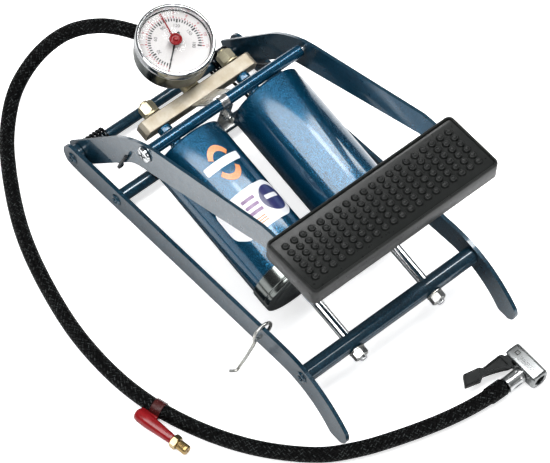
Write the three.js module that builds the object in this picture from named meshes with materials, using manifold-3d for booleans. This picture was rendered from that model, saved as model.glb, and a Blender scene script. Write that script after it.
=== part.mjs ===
// Double-barrel foot pump with a pressure gauge, hose, valve chuck and adapter clip.
// Millimetres, +Z up, the pedal end towards -Y, the origin under the middle of the whole object.
// The side view is drawn with u = distance forward of the rear pivot and z = height over the floor.
import * as THREE from "three";
import { mergeVertices } from "three/addons/utils/BufferGeometryUtils.js";
import Module from "manifold-3d";

const wasm = await Module();
wasm.setup();

// Driving dimensions
const GAP = 0.3; // between two pieces that touch on the real object
const RUNNING = 0.15; // radial clearance of the lever on its pivot
const ROUND = 16; // sides of a small round piece
const RAIL = { spacing: 156.5, thick: 3, half: 10.5 };
const RAIL_LINE = { rear: [0, 9.6], bend: [228, 31.7], crown: [262, 35], tip: [288.5, 9.6] };
const ARM = { spacing: 142, thick: 2.4 };
const PIVOT_A = { u: 0, z: 9.8 }; // rear pivot of the foot lever
const TIE_D = { u: 50, z: 14.4 }; // middle tie tube
const HEAD_B = { u: 73, z: 92 }; // axle that carries the barrels
const FRONT_C = { u: 251, z: 32 }; // front tube that carries the piston rods
const PEDAL = { width: 164, rear: 208, front: 259, top: 152, height: 15, wall: 3 };
const PUMP_TILT = THREE.MathUtils.degToRad(11.1);
const BARREL = { spacing: 71.5, radius: 28.5, wall: 1.5, start: 68, end: 180.5 };
const CAP = { radius: 29.6, start: 53, end: 69.5 };
const ROD = { radius: 4, start: -15.5 };
const PISTON = { radius: 26.4, start: 132, end: 146, cup: 4.5, groove: 2.5, lip: 9 };
const AXLE = { radius: 3.5, s: 186, h: 24.6, half: 68.4 };
const SLEEVE = { radius: 4.5, outer: 68 };
const COLLAR = { x: -2.5, half: 3.3, radius: 4.9 }; // ring of the centre bracket, between the two sleeves
const BAR = { s: 210.4, h: -9, half: 50.5, depth: 11, height: 11, chamfer: 3 };
const GAUGE = { s: 242.6, radius: 27.4, bottom: 1.5, rim: 27 };
const TEE = { radius: 6.5, end: 250 };
const HOSE = { radius: 5.5, floor: 6.6, sleeve: 15 };
const CHUCK = { x: 56.4, z: 8, tail: 317.5, mouth: 347.5, radius: 7.2, bore: 4.4 };

const COLOUR = {
  frame: [0x163a55, 0.35, 0.4],
  barrel: [0x1d5c8c, 0.3, 0.5],
  chrome: [0xc8ccd0, 0.15, 1],
  zinc: [0xb3a98a, 0.4, 0.9],
  steel: [0x9da0a2, 0.35, 0.9],
  brass: [0xb48a45, 0.3, 0.9],
  rubber: [0x1a1a1b, 0.8, 0],
  hose: [0x111112, 0.7, 0],
  red: [0xb5201f, 0.45, 0],
  dial: [0xeeece6, 0.6, 0],
  glass: [0xffffff, 0.05, 0],
  spring: [0x202226, 0.4, 0.6],
};

const model = new THREE.Group();
const design = new THREE.Group(); // drawn with the rear pivot's floor point at its origin
model.add(design);

// The pump line turns about the front tube: local y runs from it to the barrel heads, local z is up.
const pumpLine = new THREE.Group();
pumpLine.position.set(0, -FRONT_C.u, FRONT_C.z);
pumpLine.rotation.x = PUMP_TILT;
design.add(pumpLine);

function put(group, name, geometry, colour, x = 0, y = 0, z = 0) {
  const [hex, roughness, metalness] = COLOUR[colour];
  const material = new THREE.MeshStandardMaterial({ color: hex, roughness, metalness });
  if (colour === "glass") {
    material.transparent = true;
    material.opacity = 0.3;
  }
  const mesh = new THREE.Mesh(geometry, material);
  mesh.name = name;
  mesh.position.set(x, y, z);
  group.add(mesh);
  return mesh;
}

// Solid joining and cutting
function toSolid(geometry) {
  const bare = geometry.clone();
  bare.deleteAttribute("normal");
  bare.deleteAttribute("uv");
  const merged = mergeVertices(bare, 1e-4);
  const mesh = new wasm.Mesh({
    numProp: 3,
    vertProperties: merged.attributes.position.array,
    triVerts: new Uint32Array(merged.index.array),
  });
  return new wasm.Manifold(mesh);
}

function toGeometry(solid) {
  const { vertProperties, triVerts } = solid.getMesh();
  const geometry = new THREE.BufferGeometry();
  geometry.setAttribute("position", new THREE.BufferAttribute(vertProperties, 3));
  geometry.setIndex(new THREE.BufferAttribute(triVerts, 1));
  geometry.computeVertexNormals();
  return geometry;
}

function join(geometries, cuts = []) {
  let solid = toSolid(geometries[0]);
  for (const other of geometries.slice(1)) solid = solid.add(toSolid(other));
  for (const cut of cuts) solid = solid.subtract(toSolid(cut));
  return toGeometry(solid);
}

// Round pieces
function rodY(radius, from, to, sides = ROUND) {
  return new THREE.CylinderGeometry(radius, radius, to - from, sides).translate(0, (from + to) / 2, 0);
}

function rodX(radius, from, to, sides = ROUND) {
  return rodY(radius, -to, -from, sides).rotateZ(Math.PI / 2);
}

function rodZ(radius, from, to, sides = ROUND) {
  return rodY(radius, from, to, sides).rotateX(Math.PI / 2);
}

function turned(profile, sides = ROUND) {
  return new THREE.LatheGeometry(profile.map(([r, y]) => new THREE.Vector2(r, y)), sides);
}

// A tube along y, open at both ends: its profile closes on itself.
function tubeY(outer, inner, from, to, sides = ROUND) {
  return turned([[inner, from], [outer, from], [outer, to], [inner, to], [inner, from]], sides);
}

function tubeX(outer, inner, from, to, sides = ROUND) {
  return tubeY(outer, inner, -to, -from, sides).rotateZ(Math.PI / 2);
}

function wire(curve, radius, steps, sides = 8) {
  const section = new THREE.Shape();
  section.absarc(0, 0, radius, 0, 2 * Math.PI);
  return new THREE.ExtrudeGeometry(section, { extrudePath: curve, steps, curveSegments: sides / 2 });
}

function box(width, depth, height, x, y, z) {
  return new THREE.BoxGeometry(width, depth, height).translate(x, y, z);
}

// Flat bars, drawn in the side view (u, z) and given their thickness along x
const SIDE_VIEW = new THREE.Matrix4().makeBasis(
  new THREE.Vector3(0, -1, 0),
  new THREE.Vector3(0, 0, 1),
  new THREE.Vector3(-1, 0, 0),
);

function flatBar(shape, middle, thick, curveSegments = 8) {
  const geometry = new THREE.ExtrudeGeometry(shape, { depth: thick, bevelEnabled: false, curveSegments });
  return geometry.applyMatrix4(SIDE_VIEW).translate(middle + thick / 2, 0, 0);
}

function drill(shape, at, radius) {
  const hole = new THREE.Path();
  hole.absarc(at.u, at.z, radius, 0, 2 * Math.PI);
  shape.holes.push(hole);
}

const REAR_AXLE = 4;
const TIE_TUBE = 5;

// Side rail: a flat bar that rises forward, bends over the front tube and comes down to a rounded foot.
const RIVET = { shank: 2.6, hole: 2.9, head: 5, depth: 8 };

function railShape(side) {
  const [start, bend, crown, tip] = Object.values(RAIL_LINE).map(([u, z]) => new THREE.Vector2(u, z));
  const nose = new THREE.QuadraticBezierCurve(bend, crown, tip);
  const spots = [start, bend, ...nose.getPoints(12).slice(1)];
  const direction = spots.map((_, i) => {
    const before = spots[Math.max(i - 1, 0)];
    const after = spots[Math.min(i + 1, spots.length - 1)];
    return after.clone().sub(before).normalize();
  });
  const edge = (sign) =>
    spots.map((p, i) => {
      const normal = new THREE.Vector2(-direction[i].y, direction[i].x);
      return p.clone().addScaledVector(normal, sign * RAIL.half);
    });
  const roundEnd = (centre, from) => {
    const points = [];
    for (let i = 1; i < 12; i += 1) {
      const angle = from - (Math.PI * i) / 12;
      points.push(new THREE.Vector2(Math.cos(angle), Math.sin(angle)).multiplyScalar(RAIL.half).add(centre));
    }
    return points;
  };
  const last = direction.length - 1;
  const outline = [
    ...edge(1),
    ...roundEnd(tip, direction[last].angle() + Math.PI / 2),
    ...edge(-1).reverse(),
    ...roundEnd(start, direction[0].angle() - Math.PI / 2),
  ];
  const shape = new THREE.Shape(outline.reverse());
  drill(shape, PIVOT_A, RIVET.hole);
  drill(shape, TIE_D, RIVET.hole);
  drill(shape, FRONT_C, RIVET.hole);
  if (side < 0) drill(shape, { u: HOOK.u, z: HOOK.z - HOOK.ring }, HOOK.wire + 0.8);
  return shape;
}

// The two feet of a rail are cut flat where they rest on the floor.
function rail(side) {
  const x = (side * RAIL.spacing) / 2;
  const below = 4;
  const floor = box(RAIL.thick + 2, 3 * FRONT_C.u, below, x, 0, -below / 2);
  return join([flatBar(railShape(side), x, RAIL.thick)], [floor]);
}

function rivet(side, at) {
  const inner = RAIL.spacing / 2 - RAIL.thick / 2 - RIVET.depth;
  const face = RAIL.spacing / 2 + RAIL.thick / 2;
  const profile = [
    [0, inner],
    [RIVET.shank, inner],
    [RIVET.shank, face + GAP / 2],
    [RIVET.head, face + GAP / 2],
    [RIVET.head * 0.8, face + 1.2],
    [RIVET.head * 0.45, face + 1.8],
    [0, face + 1.9],
  ];
  const geometry = turned(profile, 16).rotateZ((-side * Math.PI) / 2);
  return geometry.translate(0, -at.u, at.z);
}

// Cross tube between the rails, bored at each end for its rivet
function crossTube(radius, half) {
  const depth = RIVET.depth + 1;
  const bore = RIVET.hole;
  return turned([
    [0, -half + depth],
    [bore, -half + depth],
    [bore, -half],
    [radius, -half],
    [radius, half],
    [bore, half],
    [bore, half - depth],
    [0, half - depth],
  ]).rotateZ(Math.PI / 2);
}

function buildFrame() {
  const half = RAIL.spacing / 2 - RAIL.thick / 2 - GAP;
  for (const [side, name] of [[-1, "left"], [1, "right"]]) {
    put(design, `${name}_rail`, rail(side), "frame");
    put(design, `${name}_rear_rivet`, rivet(side, PIVOT_A), "frame");
    put(design, `${name}_tie_rivet`, rivet(side, TIE_D), "frame");
    put(design, `${name}_front_rivet`, rivet(side, FRONT_C), "frame");
    put(design, `${name}_return_spring`, returnSpring(side), "spring");
    put(design, `${name}_pivot_washer`, pivotWasher(side), "steel", 0, -PIVOT_A.u, PIVOT_A.z);
  }
  put(design, "rear_axle", crossTube(REAR_AXLE, half), "frame", 0, -PIVOT_A.u, PIVOT_A.z);
  put(design, "middle_tie_tube", crossTube(TIE_TUBE, half), "frame", 0, -TIE_D.u, TIE_D.z);
}

function pivotWasher(side) {
  const from = ARM.spacing / 2 + ARM.thick / 2 + GAP;
  const to = RAIL.spacing / 2 - RAIL.thick / 2 - GAP;
  const washer = tubeX(8, REAR_AXLE + GAP, from, to);
  return side < 0 ? washer.rotateY(Math.PI) : washer;
}

// Torsion spring: a coil round the rear axle, one leg hooked under the arm and up outside it, the other
// resting on the tie tube.
const SPRING = { wire: 1.1, radius: 5.7, turns: 6, near: 66.5, pitch: 3 };

function returnSpring(side) {
  const points = [];
  const at = (x, u, z) => new THREE.Vector3(side * x, -u, z);
  points.push(at(74.3, 54.5, 70));
  points.push(at(74.3, 50, 57));
  points.push(at(74.3, 45.6, 48.5));
  points.push(at(71, 45, 45));
  points.push(at(67.8, 43.5, 43.6));
  const perTurn = 8;
  for (let i = 0; i <= SPRING.turns * perTurn; i += 1) {
    const angle = (2 * Math.PI * i) / perTurn;
    const x = SPRING.near - (SPRING.pitch * i) / perTurn;
    const u = PIVOT_A.u + SPRING.radius * Math.cos(angle - 0.7);
    const z = PIVOT_A.z + SPRING.radius * Math.sin(angle - 0.7);
    points.push(at(x, u, z));
  }
  const low = SPRING.near - SPRING.pitch * SPRING.turns;
  const rest = TIE_D.z + TIE_TUBE + SPRING.wire + GAP;
  points.push(at(low - 0.6, 20, rest - 2.6));
  points.push(at(low - 0.6, TIE_D.u + 7, rest));
  const curve = new THREE.CatmullRomCurve3(points, false, "centripetal");
  return wire(curve, SPRING.wire, 84, 4);
}

// Foot lever: each arm is a flat plate that climbs from the rear pivot, bends over the barrel axle
// and ends in a short nose under the pedal.
const AXLE_HOLE = 4.6; // wide enough for the opened pivot of the linkage

function armShape() {
  const shape = new THREE.Shape();
  const reach = 9.9;
  shape.moveTo(-13.5, 8.6);
  shape.lineTo(-11, 4.4);
  const from = THREE.MathUtils.degToRad(212);
  const to = THREE.MathUtils.degToRad(320);
  for (let i = 0; i <= 6; i += 1) {
    const angle = from + ((to - from) * i) / 6;
    shape.lineTo(PIVOT_A.u + reach * Math.cos(angle), PIVOT_A.z + 0.3 + reach * Math.sin(angle));
  }
  shape.lineTo(55, 61);
  shape.quadraticCurveTo(61, 68, 70, 71.4);
  shape.lineTo(192, 122.5);
  shape.quadraticCurveTo(212, 130, 224, 121);
  shape.lineTo(231, 118);
  shape.quadraticCurveTo(240, 110.5, 246, 113.5);
  shape.quadraticCurveTo(251, 118, 248, 126);
  shape.quadraticCurveTo(243, 147.5, 222, 147.5);
  shape.lineTo(202, 147.2);
  shape.lineTo(194, 146);
  shape.lineTo(92, 109);
  shape.quadraticCurveTo(62, 99.5, 40, 75);
  shape.closePath();
  drill(shape, PIVOT_A, REAR_AXLE + RUNNING);
  drill(shape, HEAD_B, AXLE_HOLE);
  return shape;
}

// Pedal pad: a moulded tray, open below, that covers the ends of the arms.
function pedalPad() {
  const depth = PEDAL.front - PEDAL.rear;
  const middle = -(PEDAL.front + PEDAL.rear) / 2;
  const outline = new THREE.Shape();
  const corner = 4;
  const w = PEDAL.width / 2;
  const d = depth / 2;
  outline.moveTo(-w + corner, -d);
  outline.lineTo(w - corner, -d);
  outline.absarc(w - corner, -d + corner, corner, -Math.PI / 2, 0);
  outline.absarc(w - corner, d - corner, corner, 0, Math.PI / 2);
  outline.absarc(-w + corner, d - corner, corner, Math.PI / 2, Math.PI);
  outline.absarc(-w + corner, -d + corner, corner, Math.PI, 1.5 * Math.PI);
  const settings = { depth: PEDAL.height, bevelEnabled: false, curveSegments: 4 };
  const block = new THREE.ExtrudeGeometry(outline, settings);
  block.translate(0, middle, PEDAL.top - PEDAL.height);
  const roof = 3.6;
  const cavity = box(
    PEDAL.width - 2 * PEDAL.wall,
    depth - 2 * PEDAL.wall,
    PEDAL.height,
    0,
    middle,
    PEDAL.top - roof - PEDAL.height / 2,
  );
  const notches = [-1, 1].map((side) => {
    const x = (side * ARM.spacing) / 2;
    const tall = PEDAL.height - roof + 2;
    return box(ARM.thick + 1.2, 10, tall, x, -PEDAL.rear, PEDAL.top - roof - tall / 2);
  });
  return join([block], [cavity, ...notches]);
}

function buildLever() {
  for (const [side, name] of [[-1, "left"], [1, "right"]]) {
    put(design, `${name}_arm`, flatBar(armShape(), (side * ARM.spacing) / 2, ARM.thick), "frame");
  }
  const inside = ARM.spacing - ARM.thick - 2 * GAP;
  const middle = -(PEDAL.front + PEDAL.rear) / 2;
  const plate = box(inside, 34, 3, 0, middle, PEDAL.top - 6.5);
  put(design, "pedal_plate", plate, "frame");
  put(design, "pedal_pad", pedalPad(), "rubber");
}

// Rods: each passes through the front tube, has a nut in front of it and carries a piston.
const NUT = { across: 5.8, thick: 6.5 };
const FRONT_TUBE = 6.5;

function hexY(radius, from, to) {
  return rodY(radius, from, to, 6);
}

function frontTube() {
  const half = RAIL.spacing / 2 - RAIL.thick / 2 - GAP;
  const bores = [-1, 1].map((side) =>
    rodY(ROD.radius + GAP, -10, 10).translate((side * BARREL.spacing) / 2, 0, 0),
  );
  return join([crossTube(FRONT_TUBE, half)], bores);
}

function pistonRod() {
  const neck = 3;
  return turned([
    [0, ROD.start],
    [2, ROD.start],
    [neck, ROD.start + 1],
    [neck, -FRONT_TUBE + 1],
    [ROD.radius, -FRONT_TUBE + 1.5],
    [ROD.radius, PISTON.end - 2],
    [0, PISTON.end - 2],
  ]);
}

function piston() {
  const bottom = PISTON.radius - PISTON.groove;
  const cupStart = PISTON.end - PISTON.lip;
  return turned([
    [ROD.radius + GAP, PISTON.start],
    [PISTON.radius, PISTON.start],
    [PISTON.radius, cupStart],
    [bottom, cupStart],
    [bottom, cupStart + PISTON.cup],
    [PISTON.radius, cupStart + PISTON.cup],
    [PISTON.radius, PISTON.end],
    [0, PISTON.end],
    [0, PISTON.end - 2 + GAP],
    [ROD.radius + GAP, PISTON.end - 2 + GAP],
    [ROD.radius + GAP, PISTON.start],
  ]);
}

function pistonSeal() {
  const start = PISTON.end - PISTON.lip + GAP;
  const end = start + PISTON.cup - 2 * GAP;
  return tubeY(PISTON.radius + 0.25, PISTON.radius - PISTON.groove + GAP, start, end);
}

function buildRods() {
  put(pumpLine, "front_tube", frontTube(), "frame");
  for (const [side, name] of [[-1, "left"], [1, "right"]]) {
    const x = (side * BARREL.spacing) / 2;
    const nut = join(
      [hexY(NUT.across, -FRONT_TUBE - 0.4 - NUT.thick, -FRONT_TUBE - 0.4)],
      [rodY(3 + GAP, -20, -FRONT_TUBE)],
    );
    put(pumpLine, `${name}_rod`, pistonRod(), "chrome", x);
    put(pumpLine, `${name}_rod_nut`, nut, "steel", x);
    put(pumpLine, `${name}_piston`, piston(), "rubber", x);
    put(pumpLine, `${name}_piston_seal`, pistonSeal(), "rubber", x);
  }
}

// Barrels: a tube closed at the head, where the outlet leaves a little below the middle.
const OUTLET = { radius: 5.3, bore: 2.2 };

function barrel() {
  const inner = BARREL.radius - BARREL.wall;
  const shell = turned([
    [inner, BARREL.start],
    [BARREL.radius, BARREL.start],
    [BARREL.radius, BARREL.end - 1.5],
    [BARREL.radius - 1.5, BARREL.end],
    [0, BARREL.end],
    [0, BARREL.end - 2],
    [inner, BARREL.end - 2],
    [inner, BARREL.start],
  ], 32);
  const outlet = rodY(OUTLET.bore, BARREL.end - 6, BARREL.end + 4, 12).translate(0, 0, BAR.h);
  return join([shell], [outlet]);
}

function barrelCap() {
  const bore = ROD.radius + GAP;
  const inner = BARREL.radius + GAP;
  return turned([
    [bore, CAP.start],
    [CAP.radius - 1.2, CAP.start],
    [CAP.radius, CAP.start + 1.2],
    [CAP.radius, CAP.end],
    [inner, CAP.end],
    [inner, BARREL.start - GAP],
    [bore, BARREL.start - GAP - 9],
    [bore, CAP.start],
  ], 32);
}

function axleScrew(side) {
  const face = ARM.spacing / 2 + ARM.thick / 2;
  const head = 6.9;
  const profile = [
    [0, AXLE.half + GAP],
    [2.4, AXLE.half + GAP],
    [2.4, face + 0.5],
    [head, face + 0.5],
    [head, face + 1.2],
    [head * 0.85, face + 2.6],
    [head * 0.5, face + 3.1],
    [0, face + 3.2],
  ];
  return turned(profile).rotateZ((-side * Math.PI) / 2);
}

function outletStub() {
  const bar = BAR.s - BAR.depth / 2 - GAP;
  return tubeY(OUTLET.radius, OUTLET.bore, BARREL.end + GAP, bar);
}

const BOLT = { radius: 6.4, thick: 10.2, shank: 3.4 };
const AIRWAY = 2; // bore through the bar and the tee

// The bar's two ends slope in towards its top.
function manifoldBar() {
  const w = BAR.half;
  const top = BAR.height / 2;
  const face = new THREE.Shape();
  face.moveTo(-w, -top);
  face.lineTo(w, -top);
  face.lineTo(w, top - BAR.chamfer);
  face.lineTo(w - BAR.chamfer, top);
  face.lineTo(-w + BAR.chamfer, top);
  face.lineTo(-w, top - BAR.chamfer);
  face.closePath();
  const bar = new THREE.ExtrudeGeometry(face, { depth: BAR.depth, bevelEnabled: false });
  bar.rotateX(Math.PI / 2).translate(0, BAR.depth / 2, 0);
  const across = BAR.depth;
  const bores = [-1, 1].map((side) =>
    rodY(BOLT.shank + GAP, -across, across, 16).translate((side * BARREL.spacing) / 2, 0, 0),
  );
  bores.push(rodY(AIRWAY + 0.5, 0, across, 12));
  bores.push(rodX(AIRWAY, -BARREL.spacing / 2, BARREL.spacing / 2, 12));
  return join([bar], bores);
}

function banjoBolt() {
  const seat = BAR.depth / 2 + GAP;
  return join([
    hexY(BOLT.radius, seat, seat + BOLT.thick),
    rodY(BOLT.shank, -BAR.depth / 2 + 1, seat + 1, 16),
  ]);
}

// Tee behind the bar: straight on to the hose tail, up to the gauge.
function tee() {
  const start = BAR.s + BAR.depth / 2 + GAP;
  const body = rodY(TEE.radius, start, TEE.end);
  const tail = rodY(3.2, TEE.end - 1, TEE.end + 12, 16);
  const stem = rodZ(TEE.radius - 1, 0, GAUGE.bottom - GAP - BAR.h).translate(0, GAUGE.s, 0);
  const bore = rodY(AIRWAY, start - 1, TEE.end + 14, 12);
  const up = rodZ(AIRWAY, 0, 40, 12).translate(0, GAUGE.s, 0);
  return join([body, tail, stem], [bore, up]).translate(0, 0, BAR.h);
}

// Bracket between the barrel heads: a ring round the axle, a tang down to a foot between the barrels,
// and a sloping plate back to the bar.
const TANG = { s: 183.2, thick: 3, width: 10, top: 18.6, foot: -3 };
const PLATE = { width: 22, thick: 2, from: [192.3, 18.3], to: [204, -2.5] };

function centreBracket() {
  const ringEnds = [COLLAR.x - COLLAR.half, COLLAR.x + COLLAR.half];
  const ring = tubeX(COLLAR.radius, AXLE.radius + GAP, ...ringEnds).translate(0, AXLE.s, AXLE.h);
  const neckTop = AXLE.h - COLLAR.radius + 1;
  const neck = box(2 * COLLAR.half, TANG.thick, 4, COLLAR.x, TANG.s, neckTop - 2);
  const tall = TANG.top - TANG.foot;
  const tang = box(TANG.width, TANG.thick, tall, 0, TANG.s, TANG.top - tall / 2);
  const foot = box(TANG.width, 8, 2, 0, TANG.s - 4 + TANG.thick / 2, TANG.foot + 1);
  const [s0, h0] = PLATE.from;
  const [s1, h1] = PLATE.to;
  const plate = box(PLATE.width, Math.hypot(s1 - s0, h1 - h0), PLATE.thick, 0, 0, 0);
  plate.rotateX(Math.atan2(h1 - h0, s1 - s0)).translate(0, (s0 + s1) / 2, (h0 + h1) / 2);
  const tie = box(2 * COLLAR.half, 6, 2.5, COLLAR.x, AXLE.s + 5, AXLE.h - 5.4);
  const bridge = box(TANG.width, s0 - TANG.s, 2, 0, (s0 + TANG.s) / 2, TANG.top - 1);
  return join([ring, neck, tang, foot, plate, tie, bridge]);
}

function gaugeCase() {
  const r = GAUGE.radius;
  const floor = GAUGE.bottom;
  const top = GAUGE.rim - 3.5;
  return turned([
    [2.2, floor],
    [r - 1.5, floor],
    [r, floor + 1.5],
    [r, top],
    [r - 1.4, top],
    [r - 1.4, floor + 4.2],
    [2.2, floor + 4.2],
    [2.2, floor],
  ], 32).rotateX(Math.PI / 2);
}

function gaugeBezel() {
  const inner = GAUGE.radius + GAP;
  const outer = inner + 0.9;
  const top = GAUGE.rim;
  return turned([
    [inner, top - 8],
    [outer, top - 8],
    [outer, top - 1.2],
    [outer - 1.2, top],
    [inner - 2.3, top],
    [inner - 2.3, top - 0.8],
    [inner, top - 0.8],
    [inner, top - 8],
  ], 32).rotateX(Math.PI / 2);
}

function disc(radius, hole, from, to, sides = 32) {
  return tubeY(radius, hole, from, to, sides).rotateX(Math.PI / 2);
}

const LEVEL = { dial: 20.2, needle: 22, marker: 23.6, lens: 24.6, knob: 26.5 };

function pointer(length, tail, width, thick, turn) {
  const outline = new THREE.Shape();
  outline.moveTo(-width, -tail);
  outline.lineTo(width, -tail);
  outline.lineTo(0.35, length);
  outline.lineTo(-0.35, length);
  outline.closePath();
  const blade = new THREE.ExtrudeGeometry(outline, { depth: thick, bevelEnabled: false });
  return blade.rotateZ(turn);
}

const NEEDLE_TURN = THREE.MathUtils.degToRad(131);
const MARKER_TURN = THREE.MathUtils.degToRad(-11.7);

function needle() {
  const blade = pointer(21.4, 6, 0.9, 0.6, NEEDLE_TURN).translate(0, 0, LEVEL.needle);
  const spindle = rodZ(1, LEVEL.dial - 6, LEVEL.needle + 0.4, 12);
  const hub = rodZ(2.2, LEVEL.needle - 0.2, LEVEL.needle + 0.8, 16);
  return join([blade, spindle, hub]);
}

function marker() {
  const blade = pointer(23.7, 0, 0.8, 0.5, MARKER_TURN).translate(0, 0, LEVEL.marker);
  const stem = rodZ(1.2, LEVEL.marker, LEVEL.knob + 0.4, 12);
  const knob = turned([[0, 0], [4.2, 0], [4, 1.2], [2.4, 2.2], [0, 2.4]], 20).rotateX(Math.PI / 2);
  return join([blade, stem, knob.translate(0, 0, LEVEL.knob)]);
}

function bourdonTube() {
  const points = [];
  for (let i = 0; i <= 16; i += 1) {
    const angle = (i / 16) * 1.5 * Math.PI - Math.PI / 2;
    points.push(new THREE.Vector3(15 * Math.cos(angle), 15 * Math.sin(angle), 11));
  }
  return wire(new THREE.CatmullRomCurve3(points), 2, 16, 6);
}

function buildGauge() {
  const gauge = new THREE.Group();
  gauge.position.set(0, GAUGE.s, 0);
  pumpLine.add(gauge);
  const inner = GAUGE.radius - 1.4 - GAP;
  put(gauge, "gauge_case", gaugeCase(), "chrome");
  put(gauge, "gauge_bezel", gaugeBezel(), "chrome");
  put(gauge, "gauge_dial", disc(inner, 1.3, LEVEL.dial, LEVEL.dial + 0.9), "dial");
  put(gauge, "gauge_lens", disc(GAUGE.radius, 1.6, LEVEL.lens, LEVEL.lens + 1.3), "glass");
  put(gauge, "gauge_needle", needle(), "spring");
  put(gauge, "gauge_marker", marker(), "red");
  put(gauge, "bourdon_tube", bourdonTube(), "brass");
}

function buildBarrels() {
  for (const [side, name] of [[-1, "left"], [1, "right"]]) {
    const x = (side * BARREL.spacing) / 2;
    const collarFace = side * COLLAR.x + COLLAR.half + GAP;
    const sleeve = tubeX(SLEEVE.radius, AXLE.radius + GAP, collarFace, SLEEVE.outer);
    put(pumpLine, `${name}_barrel`, barrel(), "barrel", x);
    put(pumpLine, `${name}_barrel_cap`, barrelCap(), "chrome", x);
    put(pumpLine, `${name}_outlet`, outletStub(), "barrel", x, 0, BAR.h);
    put(pumpLine, `${name}_banjo_bolt`, banjoBolt(), "zinc", x, BAR.s, BAR.h);
    const tube = put(pumpLine, `${name}_axle_sleeve`, sleeve, "barrel", 0, AXLE.s, AXLE.h);
    if (side < 0) tube.rotation.y = Math.PI;
    put(pumpLine, `${name}_axle_screw`, axleScrew(side), "steel", 0, AXLE.s, AXLE.h);
  }
  put(pumpLine, "head_axle", rodX(AXLE.radius, -AXLE.half, AXLE.half), "chrome", 0, AXLE.s, AXLE.h);
  put(pumpLine, "manifold_bar", manifoldBar(), "zinc", 0, BAR.s, BAR.h);
  put(pumpLine, "tee", tee(), "zinc");
  put(pumpLine, "centre_bracket", centreBracket(), "steel");
}

// Hose: leaves the tee rearward, drops to the floor on the left and runs round to the valve chuck.
function onPumpLine(x, s, h) {
  const c = Math.cos(PUMP_TILT);
  const n = Math.sin(PUMP_TILT);
  return new THREE.Vector3(x, -FRONT_C.u + s * c - h * n, FRONT_C.z + s * n + h * c);
}

const HOSE_START = onPumpLine(0, TEE.end + 16, BAR.h);
const FLOOR_RUN = [
  [-119, -24],
  [-145, 25],
  [-161, 77],
  [-168.5, 125],
  [-166.5, 175],
  [-154, 219],
  [-131, 261],
  [-100, 294],
  [-77, 307.5],
  [-52, 317.3],
  [-16, 328],
  [12, 333],
];

function hoseCurve() {
  const points = [
    onPumpLine(0, TEE.end + 0.5, BAR.h),
    onPumpLine(0, TEE.end + 8, BAR.h),
    HOSE_START,
    new THREE.Vector3(-5, 22, 75.5),
    new THREE.Vector3(-17, 44, 69.5),
    new THREE.Vector3(-33, 63, 55),
    new THREE.Vector3(-53, 73, 34),
    new THREE.Vector3(-76, 70, 15.5),
    new THREE.Vector3(-99, 51, 7.4),
  ];
  for (const [x, u] of FLOOR_RUN) points.push(new THREE.Vector3(x, -u, HOSE.floor));
  points.push(new THREE.Vector3(34, -334.4, HOSE.floor + 0.5));
  return new THREE.CatmullRomCurve3(points, false, "centripetal");
}

function hose() {
  const bore = new THREE.LineCurve3(onPumpLine(0, TEE.end - 4, BAR.h), onPumpLine(0, TEE.end + 13, BAR.h));
  const curve = hoseCurve();
  const sleeveStart = curve.getPointAt(1 - HOSE.sleeve / curve.getLength());
  const jacket = wire(new THREE.LineCurve3(sleeveStart, curve.getPointAt(1)), HOSE.radius + 0.8, 1, 12);
  return join([wire(curve, HOSE.radius, 64, 8), jacket], [wire(bore, 3.6, 1, 12)]);
}

// Valve chuck: a chromed body lying on the floor, the hose entering from the side.
const HOSE_END_U = 335.2;
const THUMB = { x: -0.3, u: 322.3, lift: 3, thick: 4, length: 43, eye: 3, pin: 1.3 };
const FERRULE = { radius: 5.8, bore: 4.5, from: 34.8, to: 48.6 };

function valveChuck() {
  const { tail, mouth, radius, bore } = CHUCK;
  const body = turned([
    [0, -tail],
    [radius - 1.6, -tail],
    [radius, -tail - 1.6],
    [radius, -mouth + 2],
    [radius - 1, -mouth],
    [bore, -mouth],
    [bore, -mouth + 16],
    [0, -mouth + 16],
  ].reverse());
  const neckStart = FERRULE.from + 0.6 - CHUCK.x;
  const neck = rodX(FERRULE.bore - GAP, neckStart, -radius + 3, 16).translate(0, -HOSE_END_U, 0);
  const slotEdge = THUMB.eye + 0.4;
  const slotBack = THUMB.u + slotEdge;
  const slotFront = tail - 2;
  const width = slotEdge + radius + 1;
  const slot = box(width, slotBack - slotFront, THUMB.thick + 0.8, 0, 0, THUMB.lift);
  slot.translate(THUMB.x + slotEdge - width / 2, -(slotBack + slotFront) / 2, 0);
  const pinHole = rodZ(THUMB.pin + GAP, -5.4, 10, 12).translate(THUMB.x, -THUMB.u, 0);
  return join([body, neck], [slot, pinHole]).translate(CHUCK.x, 0, CHUCK.z);
}

function thumbLever() {
  const { eye, length, thick } = THUMB;
  const outline = new THREE.Shape();
  outline.moveTo(0, -eye);
  outline.absarc(0, 0, eye, -Math.PI / 2, Math.PI / 2);
  const tab = length - 12;
  outline.lineTo(-7, eye);
  outline.quadraticCurveTo(-17, 2.5, -tab + 1.5, 5);
  outline.lineTo(-tab, 7.5);
  outline.lineTo(-length, 7.5);
  outline.lineTo(-length, -eye);
  outline.lineTo(-tab + 4, -eye);
  outline.closePath();
  drill(outline, { u: 0, z: 0 }, THUMB.pin + GAP);
  const blade = new THREE.ExtrudeGeometry(outline, { depth: thick, bevelEnabled: false, curveSegments: 6 });
  return blade.translate(0, 0, -thick / 2);
}

// Red clip: a strap round the hose and a socket beside it that holds the brass adapter.
const CLIP = { at: 0.627, out: -11.6, drop: -1.2, turn: -6, strap: 6.4 };
const SOCKET = { radius: 4.8, rear: -11.5, front: 21.5, bore: 1.9 };

function inSocket(geometry) {
  return geometry.rotateZ(THREE.MathUtils.degToRad(CLIP.turn)).translate(CLIP.out, 0, CLIP.drop);
}

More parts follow.
